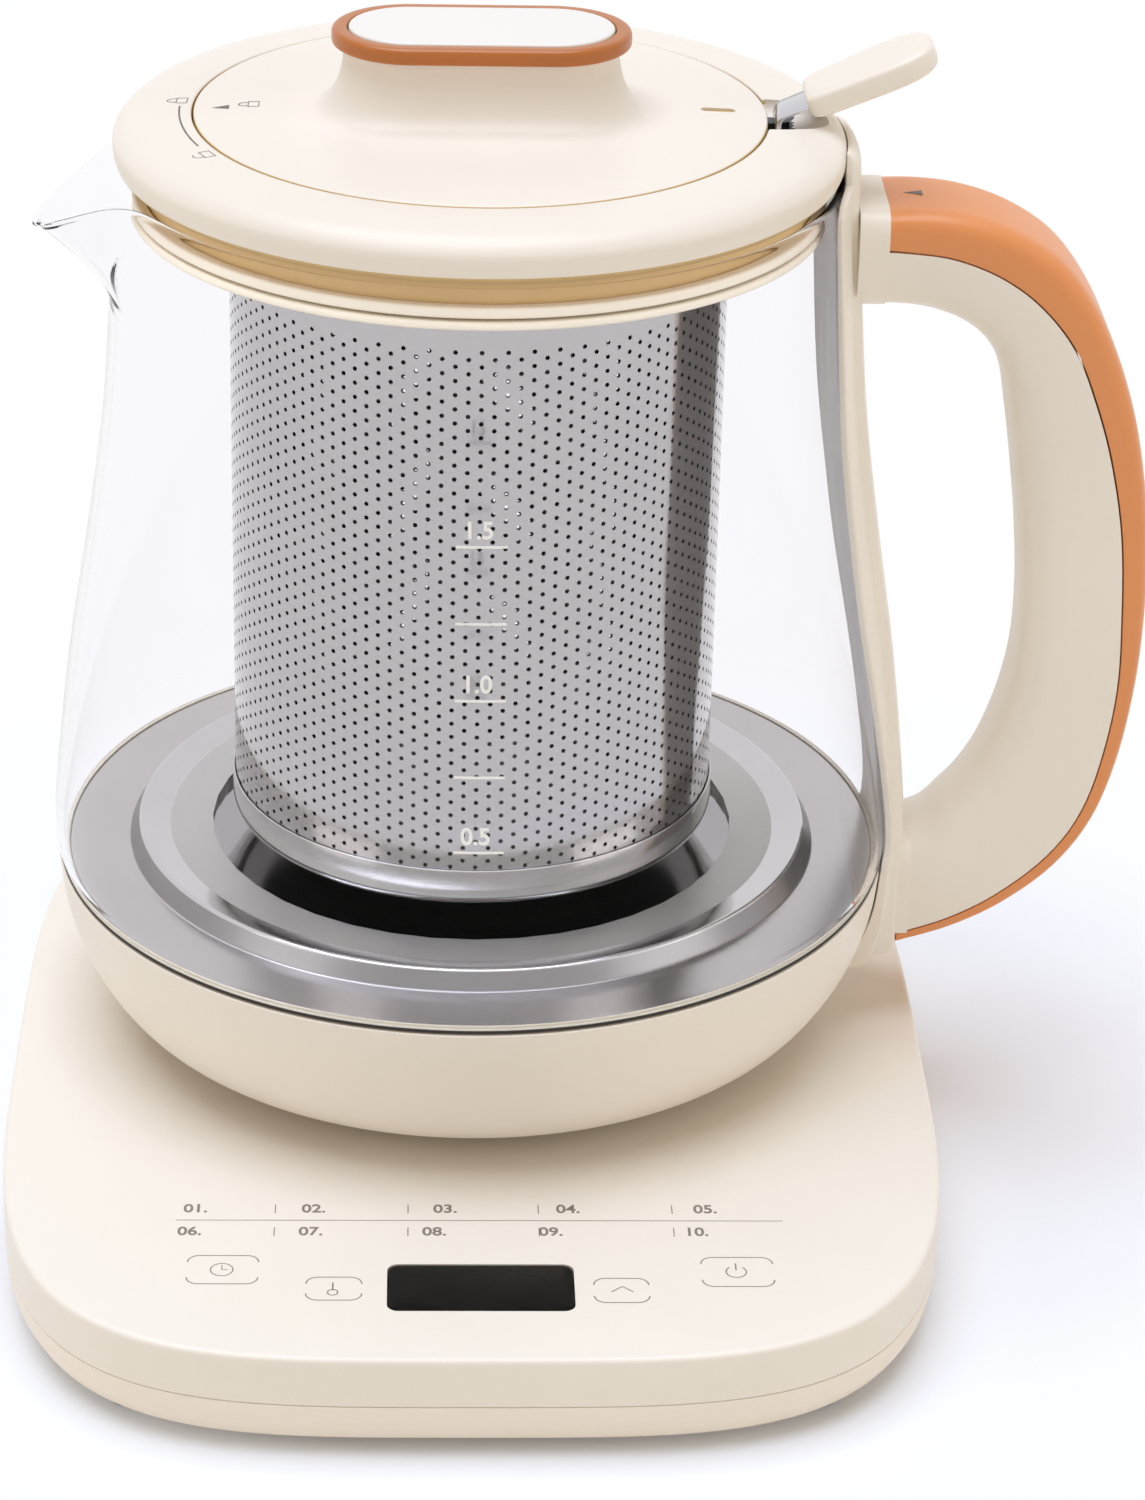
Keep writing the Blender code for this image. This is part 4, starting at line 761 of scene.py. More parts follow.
# %% [markdown]
# ## Heating plate and its seal
# The plate is pressed steel: a dished, mirror-like well, a raised ring that slopes up to a bright
# edge, the ring's wall and a duller flange. Four turned pieces would need joints, so one turned
# sheet takes four finishes, given to faces by how far they lie from the axis.

# %% Plate and seal
plate_line = rounded_line([
    (0, 59.4), (49, 59.4, 30), (58.8, 61.9, 1.2), (67.4, 64.3, 0.8), (69.5, 60.2, 0.5),
    (81.7, 60.2, 0.2), (81.7, 59.6, 0.2), (68.5, 59.2), (66.6, 62.9, 0.6), (58.6, 60.7, 0.6),
    (48.8, 58.2, 20), (0, 58.2)], 8)
plate = lathe(plate_line, 192)
well, wall_foot, wall_top = 58.7, 69.6, 67.7
# The ring's wall takes darkened steel as a painted darker reflection.
finish_faces(plate, (ring_steel, well_steel, flange_steel, painted_reflection_wall_steel),
             lambda f: off_axis(f) < well, lambda f: off_axis(f) > wall_foot,
             lambda f: wall_top < off_axis(f) < wall_foot)
dress(plate, "pressed_heating_plate", ring_steel, "kettle", "steel", "heating_plate")
seal = lathe(rounded_line([
    (74.8, 56.9, 0.3), (81.3, 56.9, 0.2), (81.3, 59.2), (83.7, 59.2, 0.2), (83.7, 60.0, 0.3),
    (82.4, 60.0), (82.4, 60.4, 0.1), (82.0, 60.4, 0.1), (82.0, 59.3), (80.6, 59.0),
    (80.6, 58.5), (74.8, 58.5, 0.3)], 4), 192)
finish_faces(seal, (pale_rubber, dark_rubber),
             lambda f: off_axis(f) > 83.2 and abs(f.normal.z) < 0.8)
dress(seal, "jug_seal_band", dark_rubber, "kettle", "dark_rubber", "jug_seal")

# %% [markdown]
# ## Glass jug
# The jug is blown in one piece, with a thin wall, a melted, rounded rim and a spout that was
# drawn out of the neck while hot. A single skin could stand for it, but the rim shows its
# thickness, so it's lofted in level loops that run up the outside, over the rim and down the
# inside. The spout is a bulge of the loops near -X, which also dips, and fades with a bell curve.

# %% Jug
glass_outside = smooth_line([(60.3, 84.0), (66.6, 84.5), (78.8, 83.5), (103.0, 80.5),
                             (128.8, 76.3), (154.3, 72.7), (178.04, 70.9)], 5)


def glass_reach(z):
    """Outside of the jug at a height below its neck."""
    for (z0, r0), (z1, r1) in zip(glass_outside, glass_outside[1:]):
        if z <= z1:
            return r0 + (r1 - r0) * (z - z0) / (z1 - z0)
    return glass_outside[-1][1]


def neck_loop(share, radius, drop=0.0, sides=200):
    """Level loop of the neck, share 0 at its foot and 1 at the rim."""
    loop = []
    for i in range(sides):
        angle = 2 * math.pi * i / sides
        swell = math.exp(-((abs(angle - math.pi)) / math.radians(14)) ** 2)
        top = 202.5 - 12 * swell
        r = radius + 16 * swell * share ** 1.1
        loop.append((r * math.cos(angle), r * math.sin(angle),
                     178.04 + share * (top - 178.04) - drop))
    return loop


def round_loop(radius, z, sides=200):
    return [(radius * math.cos(2 * math.pi * i / sides), radius * math.sin(2 * math.pi * i / sides),
             z) for i in range(sides)]


glass_wall = 1.4
neck = smooth_line([(0, 70.9), (0.35, 70.41), (0.7, 69.92), (1, 69.5)], 5)
foot_round = [(0.9, 60.3), (0.35, 60.45), (0.08, 60.8), (0, 61.4)]
jug_loops = [round_loop(84.0 - inset, z) for inset, z in foot_round]
jug_loops += [round_loop(r, z) for z, r in glass_outside[2:-1]]
jug_loops += [neck_loop(t, r) for t, r in neck[:-1]]
for turn in (0, 30, 60, 90, 120, 150, 180):
    a = math.radians(turn)
    jug_loops.append(neck_loop(1, 69.5 - glass_wall / 2 * (1 - math.cos(a)),
                               glass_wall / 2 * (1 - math.sin(a))))
jug_loops += [neck_loop(t, r - glass_wall) for t, r in reversed(neck[:-1])]
jug_loops += [round_loop(r - glass_wall, z) for z, r in reversed(glass_outside[2:-1])]
jug_loops += [round_loop(84.0 - glass_wall + inset / 2, z) for inset, z in reversed(foot_round)]
jug = loft(jug_loops, "joined")
dress(jug, "clear_jug", jug_glass, "kettle", "clear_glass", "glass_jug", angle=60)


# %% Marks on the glass
def on_glass(x, z, lift):
    reach = glass_reach(z) + 0.09 + lift
    angle = -math.pi / 2 + x / reach
    return reach * math.cos(angle), reach * math.sin(angle), z


marks = []
for number in range(5):
    z = 154.4 - 14.45 * number
    marks.append(ink_line([(-4.7 + 9.4 * k / 12, z) for k in range(13)], 0.5))
    if number % 2 == 0:
        marks.append(number_print(f"{1.5 - number / 4:.1f}", -0.6, z + 3.0, 4.6))
dress(lay(together(marks), on_glass), "water_level_marks", glass_ink, "kettle", "pale_plastic")

# %% [markdown]
# ## Handle
# The handle is three mouldings: a spine that is glued up the glass, with a thin flange at each
# side, a cream inner shell and an orange outer shell. A swept profile couldn't change its width on
# the way, so the shells run through stations that were read from the picture as shares of the
# handle's reach and height: an inner, a seam and an outer point each. At every station a U-shaped
# section is set across the flowing line. Two cream roots close the shells at the spine.

# %% Spine
spine_rows = [(36, 77.3, 87.8), (42, 80.4, 87.8), (50, 82.9, 87.8),
              (60.3, 84.0, 87.8), (66.6, 84.5, 88.0), (78.8, 83.5, 87.0), (103.0, 80.5, 84.0),
              (128.8, 76.3, 79.8), (154.3, 72.7, 76.1), (178.04, 70.9, 74.0), (186.6, 70.41, 73.3),
              (195.2, 69.92, 72.7), (202.5, 69.6, 72.4)]


def spine_loop(z, radius, reach, slant, wide):
    """Level section: a thin flange at each side steps up to the middle band."""
    inner = radius + 0.3
    edge = inner + (reach - inner) * 0.5
    half_way = (wide + 9.6) / 2
    outer = rounded_line([(-wide, inner + 0.2), (-wide, edge, 0.5), (-half_way, edge),
                          (-9.6, edge, 0.4), (-9.0, reach, 0.9), (9.0, reach, 0.9),
                          (9.6, edge, 0.4), (half_way, edge), (wide, edge, 0.5),
                          (wide, inner + 0.2)], 4)
    middle = [(a, reach) for a in (-6, -3, 0, 3, 6)]
    half = len(outer) // 2
    spots = outer[:half] + middle + outer[half:]
    spots += [((wide - 0.25) * (1 - k / 4), inner) for k in range(9)]
    return [(r * math.cos(math.radians(a)), r * math.sin(math.radians(a)),
             z + slant * (r - inner) / (reach - inner)) for a, r in spots]


def spine_width(z):
    """Half the angle the spine spans: wider up the glass, rounded off under the ring."""
    share = min(max((z - 58) / 62, 0), 1)
    return 11.8 + 6.7 * share * share * (3 - 2 * share) - (0.55 * max(z - 198.2, 0)) ** 2 * 0.6


spine_line = [(z, radius, reach, 0, spine_width(z))
              for z, radius, reach in smooth_line(spine_rows, 4)]
crown = [(201.4, 69.65, 72.5, 0, 16.2), (201.9, 69.62, 72.5, 0, 15.0), (202.2, 69.6, 72.5, 0, 13.4),
         (202.35, 69.55, 72.5, 0, 11.0), (202.7, 69.5, 72.5, 0, 10.0),
         (204.5, 69.45, 72.5, 0, 9.8), (206.0, 69.45, 72.3, 0, 9.8), (207.4, 69.45, 71.8, 0, 9.8),
         (208.3, 69.45, 71.0, 0, 9.8), (208.7, 69.45, 70.4, 0, 9.8)]
foot_rows = [(36, 77.5, 87.0, 2.5, 11.8), (36.4, 77.5, 87.6, 2.9, 11.8),
             (38, 78.5, 87.8, 3, 11.8)]
spine = loft([spine_loop(*row) for row in foot_rows + spine_line[5:-1] + crown])
dress(spine, "handle_back_spine", cream, "kettle", "cream_plastic", "handle_spine")

# %% Shells and roots
stations = (
    (0, 0.873, 0, 0.954, 0, 0.999), (0.113, 0.875, 0.163, 0.951, 0.207, 1),
    (0.228, 0.869, 0.302, 0.943, 0.361, 0.992), (0.34, 0.851, 0.447, 0.92, 0.514, 0.97),
    (0.422, 0.82, 0.575, 0.883, 0.658, 0.93), (0.47, 0.773, 0.686, 0.829, 0.778, 0.864),
    (0.494, 0.704, 0.763, 0.76, 0.873, 0.779), (0.511, 0.628, 0.824, 0.685, 0.935, 0.694),
    (0.522, 0.559, 0.876, 0.584, 0.981, 0.584), (0.522, 0.477, 0.896, 0.47, 0.994, 0.465),
    (0.498, 0.396, 0.896, 0.374, 0.974, 0.361), (0.442, 0.327, 0.853, 0.283, 0.921, 0.267),
    (0.361, 0.267, 0.776, 0.205, 0.828, 0.187), (0.27, 0.222, 0.64, 0.141, 0.675, 0.121),
    (0.18, 0.192, 0.435, 0.087, 0.457, 0.068), (0.101, 0.168, 0.223, 0.051, 0.232, 0.034),
    (0, 0.157, 0, 0.028, 0, 0.012))


def root_reach(z):
    """Outer face of the spine at a height, where the arms start."""
    for (z0, _, r0), (z1, _, r1) in zip(spine_rows, spine_rows[1:]):
        if z <= z1:
            return r0 - 0.8 + (r1 - r0) * (z - z0) / (z1 - z0)
    return spine_rows[-1][2] - 0.8


def handle_point(reach_share, height_share):
    z = 38 + height_share * 159.2
    root = root_reach(z)
    return Vector((root + reach_share * (133.3 - root), 0, z))


def channel(near, far, corner, opening):
    """U-shaped section between two points, open at the far or the near one."""
    closed, opened = (near, far) if opening == "far" else (far, near)
    along, depth = (opened - closed).normalized(), (opened - closed).length
    half, wall = 13.0, 2.4
    side = Vector((0, 1, 0))
    outer = rounded_line([(depth, -half, 0.25), (0, -half, corner), (0, half, corner),
                          (depth, half, 0.25)], 6)
    small = corner - wall + 0.6
    inner = rounded_line([(depth, half - wall), (wall, half - wall, small),
                          (wall, -half + wall, small), (depth, -half + wall)], 4)
    return [tuple(closed + along * d + side * y) for d, y in outer + inner]


inner_loops, outer_loops = [], []
rows = smooth_line(stations, 5)
for number, row in enumerate(rows):
    near, seam, far = (handle_point(*row[k:k + 2]) for k in (0, 2, 4))
    inner_loops.append(channel(near, seam, 10.5, "far"))
    lift = (far - seam).normalized() * 0.3
    shift = Vector((0, 0, 0))
    if number < 5:
        shift.x = 3.9 * (1 - number / 5)
    outer_loops.append(channel(seam + lift + shift, far + shift, 5.2, "near"))
dress(loft(inner_loops), "handle_cream_shell", cream, "kettle", "cream_plastic",
      "handle_inner_shell")
for name, row, low_end, high_end, corner, end, ledge in (
        ("upper", stations[0], 0, 4, 5.2, 4.4, 0.45), ("lower", stations[-1], 2, 0, 9, 2.2, 0.12)):
    low, top = (handle_point(*row[k:k + 2]) for k in (low_end, high_end))
    root_loops = []
    for reach, shrink in ((-1.3, -0.5), (end, -ledge), (end, 2.6), (end + 8, 2.6)):
        depth, half = top.z - low.z - shrink * (low_end == 0), 13 - shrink
        root_loops.append([(low.x + reach, y, low.z + d) for d, y in rounded_line(
            [(0.1, -half, 9 if low_end == 0 else 0.3), (depth, -half, corner),
             (depth, half, corner), (0.1, half, 9 if low_end == 0 else 0.3)], 6)])
    dress(loft(root_loops), f"handle_{name}_root", cream, "kettle", "cream_plastic")
dress(loft(outer_loops), "handle_orange_shell", orange, "kettle", "orange_plastic",
      "handle_outer_shell")

# %% [markdown]
# ## Lid ring
# The ring has a flat top that rolls over into a soft outer bead. Its line comes from the CAD, and
# flows. A notch lets the basket's steel strip through, and a shallow scoop beside it leaves room
# for a fingertip: an egg-shaped cutter is sunk into the top.

# %% Ring, collar and gaskets
ring_side = smooth_line([(67.2, 202.8), (69.0, 204.2), (69.6, 206.4), (69.3, 208.9), (66.6, 211.2),
                         (61.4, 212.3), (56.2, 212.6)], 7)
ring = lathe([(50.6, 202.8)] + ring_side + rounded_line(
    [(56.2, 212.6), (54.7, 212.6, 0.5), (54.7, 204.8, 0.2), (50.6, 204.8, 0.3)], 4)[1:], 200)
carve(ring, block((51.7, -7, 205.1), (59.1, 5.4, 215)))
deselect()
bpy.ops.mesh.primitive_uv_sphere_add(segments=64, ring_count=32, radius=1)
scoop = bpy.context.object
scoop.data.transform(Matrix.Translation(axis + Vector((54.7, 0, 212.6)) * mm)
                     @ Matrix.Diagonal((12 * mm, 9 * mm, 4.5 * mm, 1)))
carve(ring, scoop)


def ring_zone(face):
    """1 for the underside and the wall beside the lid's seam, which get painted amber shade, 2 for
    the notch's walls, which get painted dark shade.
    """
    spot = (face.calc_center_median() - axis) / mm
    reach = spot.xy.length
    if abs(spot.y) < 7.1 and 55 < reach < 60 and spot.z < 211.9 and spot.x > 0:
        return 2
    return 1 if face.normal.z < -0.5 or (reach < 55 and abs(face.normal.z) < 0.5) else 0


# The ring's underside and the wall by the seam get painted amber shade, and the notch's walls get
# dark plastic as painted shade.
finish_faces(ring, (cream, painted_amber_shade, dark_plastic),
             lambda f: ring_zone(f) == 1, lambda f: ring_zone(f) == 2)
dress(ring, "moulded_lid_ring", cream, "neck_ring", "cream_plastic", "lid_ring")
# The collar is cream plastic, painted amber as the shade under the ring.
collar = lathe(rounded_line([(50.6, 200.5, 0.2), (61.6, 200.5), (61.6, 193.6, 0.4),
                             (63.8, 193.6, 0.6), (63.8, 202.5, 0.2), (50.6, 202.5, 0.2)], 4), 192)
dress(collar, "moulded_neck_collar", painted_amber_shade, "neck_ring", "cream_plastic", "neck_collar")
for name, low, tall in (("lower", 193.4, 1.7), ("upper", 195.7, 2.2)):
    lip = lathe(rounded_line([(64.1, low, 0.2), (66.2, low, 0.7), (66.2, low + tall, 0.7),
                              (64.1, low + tall, 0.2)], 4), 192)
    dress(lip, f"{name}_gasket_lip", gasket_rubber, "neck_ring", "pale_rubber", f"{name}_gasket")

# %% [markdown]
# ## Infuser basket
# The basket's wall is a sheet with close rows of small holes, each column shifted by half a step,
# so every hole sits in a hexagonal cell. Cutting nearly five thousand holes with Booleans would
# take hours. Instead one cell is made, a hexagon with a hole inset in it, and arrayed to a flat
# sheet. The plain bands are extruded from its edges, and then the sheet is rolled up and given
# its thickness.

# %% Perforated wall
pitch, holes, pairs = 2.8, 39, 62
cell_radius = pitch / math.sqrt(3)
column = cell_radius * 1.5
deselect()
bpy.ops.mesh.primitive_circle_add(vertices=6, radius=cell_radius * mm, fill_type="NGON")
wall = bpy.context.object
bpy.ops.object.mode_set(mode="EDIT")
bm = bmesh.from_edit_mesh(wall.data)
for k, vertex in enumerate(bm.verts):
    turn = math.radians(60 * k)
    vertex.co = Vector((math.cos(turn), math.sin(turn), 0)) * cell_radius * mm
bmesh.update_edit_mesh(wall.data)
bpy.ops.mesh.select_all(action="SELECT")
bpy.ops.mesh.inset(thickness=0.98 * mm)
bpy.ops.mesh.delete(type="FACE")
bpy.ops.object.mode_set(mode="OBJECT")
for count, step in ((holes, (0, pitch)), (2, (column, pitch / 2)), (pairs, (2 * column, 0))):
    use(wall)
    bpy.ops.object.modifier_add(type="ARRAY")
    array = wall.modifiers[-1]
    array.count, array.use_relative_offset, array.use_constant_offset = count, False, True
    array.constant_offset_displace = Vector((*step, 0)) * mm
    bpy.ops.object.modifier_apply(modifier=array.name)
print("holes in the wall", holes * pairs * 2)

bpy.ops.object.mode_set(mode="EDIT")
bpy.ops.mesh.select_all(action="SELECT")
bpy.ops.mesh.remove_doubles(threshold=0.01 * mm)
top_row = (holes - 1) * pitch
for test, level in ((lambda y: y < 0.1, 71.8 - 74.5),
                    (lambda y: y > top_row + pitch / 2 - 0.1, 206.3 - 74.5)):
    choose(wall, lambda e: e.is_boundary and e.calc_length() > 1.2 * mm
           and all(test(v.co.y / mm) for v in e.verts), "edges")
    bpy.ops.mesh.extrude_edges_move()
    bpy.ops.transform.resize(value=(1, 0, 1), center_override=(0, level * mm, 0))
bpy.ops.object.mode_set(mode="OBJECT")
for vertex in wall.data.vertices:
    x, y, _ = vertex.co / mm
    angle = 2 * math.pi * x / (2 * pairs * column)
    vertex.co = axis + Vector((47.4 * math.cos(angle), 47.4 * math.sin(angle), 74.5 + y)) * mm
use(wall)
bpy.ops.object.mode_set(mode="EDIT")
close_mesh()
bpy.ops.object.modifier_add(type="SOLIDIFY")
wall.modifiers[-1].thickness, wall.modifiers[-1].offset = 0.6 * mm, 1
bpy.ops.object.modifier_apply(modifier=wall.modifiers[-1].name)
# The inward faces take the darkened steel as painted shade inside the basket.
finish_faces(wall, (satin_steel, painted_shade_inner_steel),
             lambda f: f.normal.dot(f.calc_center_median() - axis) < -0.5 * 47 * mm)
reach = [(v.co - axis).xy.length / mm for v in wall.data.vertices]
print("wall from", round(min(reach), 2), "to", round(max(reach), 2))
dress(wall, "perforated_wall", satin_steel, "basket", "steel", "basket_wall")

# %% Pan, rim and strip
pan = lathe(rounded_line([(0, 65.6), (48.5, 65.6, 9), (48.5, 75.3, 0.2), (48.1, 75.3, 0.2),
                          (48.1, 66.0, 8.7), (0, 66.0)], 8), 192)
dress(pan, "polished_pan", polished_steel, "basket", "steel", "basket_pan")
rim = lathe(rounded_line([(48.3, 200.1), (49.1, 200.1, 0.2), (49.1, 205.1, 0.4), (53.4, 205.1, 0.3),
                          (53.4, 206.3, 0.4), (48.3, 206.3, 0.3)], 4), 192)
dress(rim, "rolled_basket_rim", polished_steel, "basket", "steel", "basket_rim")

slope = math.radians(24)
strip_line = rounded_line([(53.7, 205.7), (56.3, 205.7, 1.2), (56.3, 213.1, 1.6),
                           (56.3 + 15 * math.cos(slope), 213.1 + 15 * math.sin(slope))], 6)
edges = []
for i, (x, z) in enumerate(strip_line):
    x0, z0 = strip_line[max(i - 1, 0)]
    x1, z1 = strip_line[min(i + 1, len(strip_line) - 1)]
    length = math.hypot(x1 - x0, z1 - z0)
    edges.append(((z1 - z0) / length * 0.5, -(x1 - x0) / length * 0.5))
outline = [(x + a, z + b) for (x, z), (a, b) in zip(strip_line, edges)]
outline += [(x - a, z - b) for (x, z), (a, b) in reversed(list(zip(strip_line, edges)))]
strip = loft([[(x, y, z) for x, z in outline] for y in (-4.5, 4.5)])
soften(strip, 0.12, 2, 60)
dress(strip, "bent_steel_strip", bright_steel, "basket", "steel", "basket_strip")

# %% [markdown]
# ## Grip of the basket
# A flat, soft paddle is moulded over the strip's end. It's lofted along the strip's slope through
# rounded sections that widen towards the end and close quickly there, which gives it the pillowed
# rim of a moulded part.

# %% Grip
along = Vector((math.cos(slope), 0, math.sin(slope)))
lift = Vector((-along.z, 0, along.x))
bend = Vector((56.3, 0, 213.1))
grip_shares = smooth_line([
    (0, 0.60, 0.42), (0.008, 0.67, 0.68), (0.03, 0.74, 0.86), (0.08, 0.82, 0.96), (0.2, 0.88, 1),
    (0.35, 0.92, 1), (0.58, 0.98, 1), (0.72, 0.985, 1), (0.82, 0.93, 0.98), (0.90, 0.82, 0.93),
    (0.955, 0.66, 0.82), (0.99, 0.46, 0.6), (1, 0.3, 0.34)], 3)
grip_loops = []
for share, width, height in grip_shares:
    middle = bend + along * (6.0 + 26 * share)
    w, h = 8.5 * width, 2.8 * height
    section = rounded_line([(w, 0), (w, h, 1.5 * h), (-w, h, 1.5 * h), (-w, 0), (-w, -h, 1.5 * h),
                            (w, -h, 1.5 * h)], 6)
    grip_loops.append([tuple(middle + Vector((0, y, 0)) + lift * z) for y, z in section])
dress(loft(grip_loops), "moulded_basket_grip", cream, "basket", "cream_plastic", "basket_grip",
      angle=60)

# %% [markdown]
# ## Inner lid and knob
# The inner lid's cover grows out of its round edge into the long pedestal under the knob, with a
# wide soft fillet. A Boolean union would leave a hard line there, so one loft does it all: its
# loops start as circles and end as stadiums, and the fillet is a quarter of an ellipse.

# %% Cover with its pedestal
def stadium_loop(half_length, half_width, z, sides=176):
    """Level bar with round ends, with its points at even angles as seen from the axis."""
    straight, loop = half_length - half_width, []
    for i in range(sides):
        angle = 2 * math.pi * i / sides
        c, s = math.cos(angle), math.sin(angle)
        reach = half_width / max(abs(s), 1e-9)
        if reach * abs(c) > straight:
            b = straight * abs(c)
            reach = b + math.sqrt(b * b - straight ** 2 + half_width ** 2)
        loop.append((reach * c, reach * s, z))
    return loop


def circle_loop(radius, z):
    return round_loop(radius, z, 176)


cover_loops = [circle_loop(r, z) for r, z in rounded_line([
    (20, 210.4), (52.2, 210.4, 0.3), (52.2, 208.4, 0.2), (54.4, 208.4, 0.3), (54.4, 212.65, 0.6),
    (51.5, 212.98), (48, 213.25), (42, 213.5), (38, 213.58)], 4)]
for turn in range(1, 15):
    a = math.pi / 2 * turn / 14
    grow = 6.6 * (1 - math.sin(a))
    height = 12 * (1 - math.cos(a))
    cover_loops.append(stadium_loop(26 + grow, 12.6 + grow, 213.6 + height))
cover_loops.insert(-14, stadium_loop(34.5, 21.5, 213.6))
cover = loft(cover_loops)
# The cover's side wall at the lid's seam takes the painted glow in place of the gap's shade.
finish_faces(cover, (cream, painted_gap_glow), lambda f: off_axis(f) > 54.2 and abs(f.normal.z) < 0.6)
slot_line = [rounded_rectangle(45, 0, 3.3, 1.05, 1.04, z, 6) for z in (208, 216)]
carve(cover, loft(slot_line))
dress(cover, "moulded_inner_lid", cream, "inner_lid", "cream_plastic", "inner_lid_cover")
# A filler in the vent slot, painted amber glow in place of the slot's shade.
painted_slot_glow = loft([rounded_rectangle(45, 0, 3.2, 0.95, 0.94, z, 6) for z in (210.6, 212.9)])
soften(painted_slot_glow, 0.1, 1)
dress(painted_slot_glow, "vent_slot_painted_glow", painted_gap_glow, "inner_lid", "cream_plastic")

# %% Seal, liner, screw and knob
lid_seal = lathe(rounded_line([(47.8, 206.6, 0.3), (53.2, 206.6, 0.4), (53.2, 208.1, 0.4),
                               (47.8, 208.1, 0.3)], 4), 192)
dress(lid_seal, "silicone_lid_seal", pale_rubber, "lid_seal", "pale_rubber", "inner_lid_seal")
liner = lathe(rounded_line([(0, 208.4), (51.9, 208.4, 0.5), (51.9, 210.1, 0.3), (0, 210.1)],
                           4), 176)
carve(liner, block((41.9, -0.6, 207), (48.1, 0.6, 211)))
dress(liner, "lid_liner_disc", liner_cream, "inner_lid", "cream_plastic", "inner_lid_liner")

band_line = rounded_line([(2.9, 225.9), (0, 225.9, 1.0), (0, 229.1, 1.2), (2.9, 229.1, 0.3),
                          (2.9, 228.0)], 6)
band = loft([stadium_loop(28.3 - inset, 15 - inset, z) for inset, z in band_line], "joined")
# The band's inner wall beside the cap takes the painted glow in place of the gap's shade.
finish_faces(band, (knob_orange, painted_gap_glow),
             lambda f: f.calc_center_median().z > 227.9 * mm and abs(f.normal.z) < 0.5
             and f.normal.dot(f.calc_center_median() - axis) < 0)
dress(band, "knob_orange_band", knob_orange, "inner_lid", "orange_plastic", "knob_band")
cap_line = rounded_line([(3.2, 226.2), (3.2, 229.4, 0.7), (6, 229.4)], 5)
cap = loft([stadium_loop(28.3 - inset, 15 - inset, z) for inset, z in cap_line])
dress(cap, "knob_pale_cap", pale_cap, "inner_lid", "pale_plastic", "knob_cap")


# %% Marks on the lid and the handle
def on_lid(x, y, lift):
    """Top of the inner lid and the ring."""
    r = math.hypot(x, y)
    line = [(0, 213.6), (38, 213.58), (42, 213.5), (48, 213.25), (51.5, 212.98), (54.0, 212.75),
            (56.2, 212.6), (58.8, 212.5), (61.4, 212.3), (64.0, 211.85), (66.6, 211.2),
            (68.2, 210.2), (69.3, 208.9)]
    for (r0, z0), (r1, z1) in zip(line, line[1:]):
        if r <= r1:
            return x, y, z0 + (z1 - z0) * (r - r0) / (r1 - r0) + 0.04 + lift
    return x, y, line[-1][1] + lift


def turned_shape(points, reach, azimuth, heading=0.0):
    """Places a small drawing at a reach and azimuth, turned by heading."""
    a, h = math.radians(azimuth), math.radians(heading)
    x0, y0 = reach * math.cos(a), reach * math.sin(a)
    return [(x0 + x * math.cos(h) - y * math.sin(h), y0 + x * math.sin(h) + y * math.cos(h))
            for x, y in points]


def padlock(reach, azimuth, heading, opened=False):
    body = [(-1.5, -1.1), (1.5, -1.1), (1.5, 0.9), (-1.5, 0.9)]
    shackle = [(-1.0, 0.9), (-1.0, 1.7)] + ring_of(0, 1.7, 1.0, 180, 0 if not opened else 40, 8)
    if not opened:
        shackle.append((1.0, 0.9))
    return [ink_line(turned_shape(body, reach, azimuth, heading), 0.25, True),
            ink_line(turned_shape(shackle, reach, azimuth, heading), 0.25)]


pointer = [(-1.9, 0), (1.3, 1.1), (1.3, -1.1)]
lid_marks = [filled(turned_shape(pointer, 48.9, 181.5))] + padlock(43.1, 179.9, 90)
dress(lay(together(lid_marks), on_lid), "inner_lid_marks", lid_ink, "inner_lid", "grey_plastic")
arc = [(57 * math.cos(math.radians(a)), 57 * math.sin(math.radians(a)))
       for a in (179 + k for k in range(25))]
ring_marks = padlock(57.0, 175.6, 86) + padlock(57.4, 207.9, 118, True) + [ink_line(arc, 0.35)]
ring_marks.append(filled(turned_shape([(-1.8, -1.6), (1.4, -0.2), (-1.8, 1.3)], 66.0, 3.5, -20)))
dress(lay(together(ring_marks), on_lid), "lid_ring_marks", lid_ink, "neck_ring", "grey_plastic")
arrow = filled([(81.2, 0), (84.8, 1.3), (84.8, -1.3)])
dress(lay(arrow, lambda x, y, lift: (x, y, 197.3 + lift)), "handle_arrow", lid_ink, "kettle",
      "grey_plastic")

# %% [markdown]
# ## What stays hidden
# The boards, the element and the sensors are inside and keep their CAD shape, which the packed
# model already holds. They still get their own finishes, because the parts may be taken apart.

# %% Finishes of the hidden parts
hidden = {
    "display_module": dark_plastic, "control_board": board_green, "power_board": board_green,
    "buzzer": dark_plastic, "heating_element": element, "temperature_sensor": screw_steel,
    "thermal_cutoff": dark_plastic, "handle_screw_1": screw_steel, "handle_screw_2": screw_steel,
    "knob_screw": screw_steel, "touch_spring_1": screw_steel, "touch_spring_2": screw_steel,
    "touch_spring_3": screw_steel, "touch_spring_4": screw_steel}
for name, finish in hidden.items():
    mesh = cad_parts[name].data
    mesh.materials.clear()
    mesh.materials.append(finish)
print(len(hidden), "CAD parts refinished")

# %% [markdown]
# ## Floor and light
# The photograph has a white sweep and very soft light from all round. Many soft boxes could give
# it, but one wide, even source overhead, a soft box at each side and a pale world do, at a level
# where a colour comes out as it is written. The white behind comes from what the camera's and the
# mirrors' rays see, and not from more light.

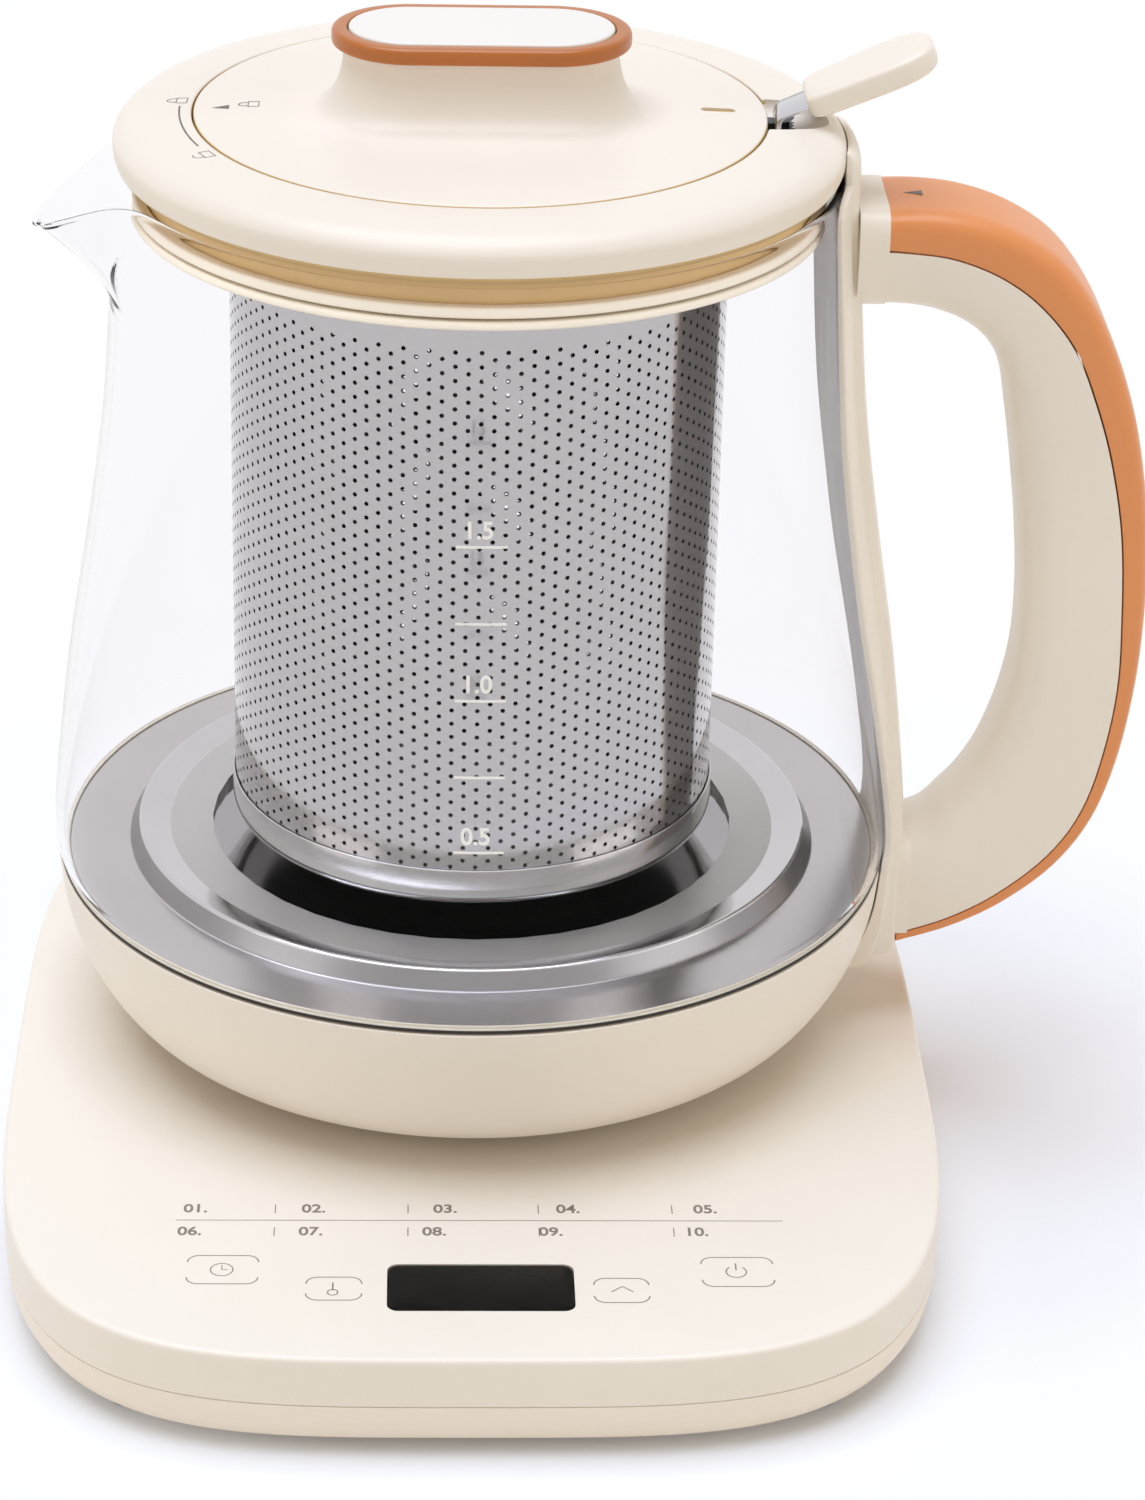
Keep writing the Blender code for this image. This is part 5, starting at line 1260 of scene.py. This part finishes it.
# %% Floor
def seen_ray(material_tree):
    """1 for the rays that show the background: camera, mirror and glass rays."""
    path = material_tree.nodes.new("ShaderNodeLightPath")
    total = path.outputs["Is Camera Ray"]
    for key in ("Is Glossy Ray", "Is Transmission Ray"):
        larger = material_tree.nodes.new("ShaderNodeMath")
        larger.operation = "MAXIMUM"
        material_tree.links.new(total, larger.inputs[0])
        material_tree.links.new(path.outputs[key], larger.inputs[1])
        total = larger.outputs["Value"]
    return total


deselect()
bpy.ops.mesh.primitive_plane_add(size=8)
floor = bpy.context.object
floor.name = "studio_floor"
sweep, shader = new_finish("studio_floor")
tone = node(sweep, "ShaderNodeMixRGB", [(seen_ray(sweep.node_tree), "Fac")],
            Color1=(0.90, 0.87, 0.80, 1), Color2=(0.90, 0.93, 1.0, 1))
link(sweep, tone.outputs["Color"], shader.inputs["Base Color"])
shader.inputs["Roughness"].default_value = 0.7
shader.inputs["Specular IOR Level"].default_value = 0.2
glow = node(sweep, "ShaderNodeEmission", Color=(1, 1, 1, 1), Strength=1.0)
away = node(sweep, "ShaderNodeVectorMath", [(object_space(sweep), 0)], operation="LENGTH")
faded = node(sweep, "ShaderNodeMapRange", [(away.outputs["Value"], "Value")], From_Min=0.12,
             From_Max=0.235, To_Min=0.1, To_Max=1.0)
share = node(sweep, "ShaderNodeMath",
             [(seen_ray(sweep.node_tree), 0), (faded.outputs["Result"], 1)],
             operation="MULTIPLY")
mixed = node(sweep, "ShaderNodeMixShader", [(share.outputs["Value"], "Fac")])
link(sweep, shader.outputs["BSDF"], mixed.inputs[1])
link(sweep, glow.outputs["Emission"], mixed.inputs[2])
link(sweep, mixed.outputs["Shader"], sweep.node_tree.nodes["Material Output"].inputs["Surface"])
floor.data.materials.append(sweep)

# %% World and lamps
world = bpy.data.worlds.new("studio")
bpy.context.scene.world = world
world.use_nodes = True
tree = world.node_tree
light = tree.nodes["Background"]
light.inputs["Color"].default_value = (1.0, 0.80, 0.55, 1)
light.inputs["Strength"].default_value = 0.34
behind = tree.nodes.new("ShaderNodeBackground")
behind.inputs["Color"].default_value = (1, 1, 1, 1)
mixed = tree.nodes.new("ShaderNodeMixShader")
tree.links.new(seen_ray(tree), mixed.inputs[0])
tree.links.new(light.outputs["Background"], mixed.inputs[1])
tree.links.new(behind.outputs["Background"], mixed.inputs[2])
tree.links.new(mixed.outputs["Shader"], tree.nodes["World Output"].inputs["Surface"])


def soft_lamp(name, place, size, power, target=(0, 0, 0.1), kind="AREA"):
    """A square soft box, or with SUN a wide even source that size opens, in radians."""
    data = bpy.data.lights.new(name, kind)
    data.energy = power
    if kind == "SUN":
        data.angle = size
    else:
        data.shape, data.size = "SQUARE", size
    lamp = bpy.data.objects.new(name, data)
    bpy.context.collection.objects.link(lamp)
    lamp.location = place
    aim = Vector(target) - Vector(place)
    lamp.rotation_euler = aim.to_track_quat("-Z", "Y").to_euler()
    return lamp


overhead = soft_lamp("overhead", (-0.15, 0.0, 1.5), 0.95, 2.2, kind="SUN")
overhead.data.color = (0.92, 1.01, 1.18)
for name, place, power in (("left_side", (-1.6, -0.8, 0.8), 4.1),
                           ("right_side", (1.6, -0.7, 0.7), 4.9)):
    soft_lamp(name, place, 1.1, power).visible_glossy = False

# %% [markdown]
# ## Camera
# The view was worked out from the photograph: 0.8 m in front of the kettle and 0.48 m up, looking
# down by 26 degrees, turned by 2.4 degrees and rolled by 1.4. The three directions make a matrix.

# %% Camera
yaw, roll = math.radians(2.4), math.radians(1.4)
spin = Matrix.Rotation(-yaw, 3, "Z")
look = (spin @ Vector((0, 0.8957, -0.4446))).normalized()
right = spin @ Vector((1, 0, 0))
up = right.cross(look)
level_right, level_up = right.copy(), up.copy()
right = level_right * math.cos(roll) + level_up * math.sin(roll)
up = -level_right * math.sin(roll) + level_up * math.cos(roll)
eye = axis + spin @ Vector((0.0203, -0.804, 0.477))
data = bpy.data.cameras.new("camera")
data.lens = 4420 / 1500 * 36
data.sensor_width = 36
camera = bpy.data.objects.new("camera", data)
bpy.context.collection.objects.link(camera)
camera.matrix_world = Matrix.Translation(eye) @ Matrix((right, up, -look)).transposed().to_4x4()
bpy.context.scene.camera = camera
bpy.context.scene.view_settings.view_transform = "Standard"
print("camera at", [round(v, 4) for v in eye])
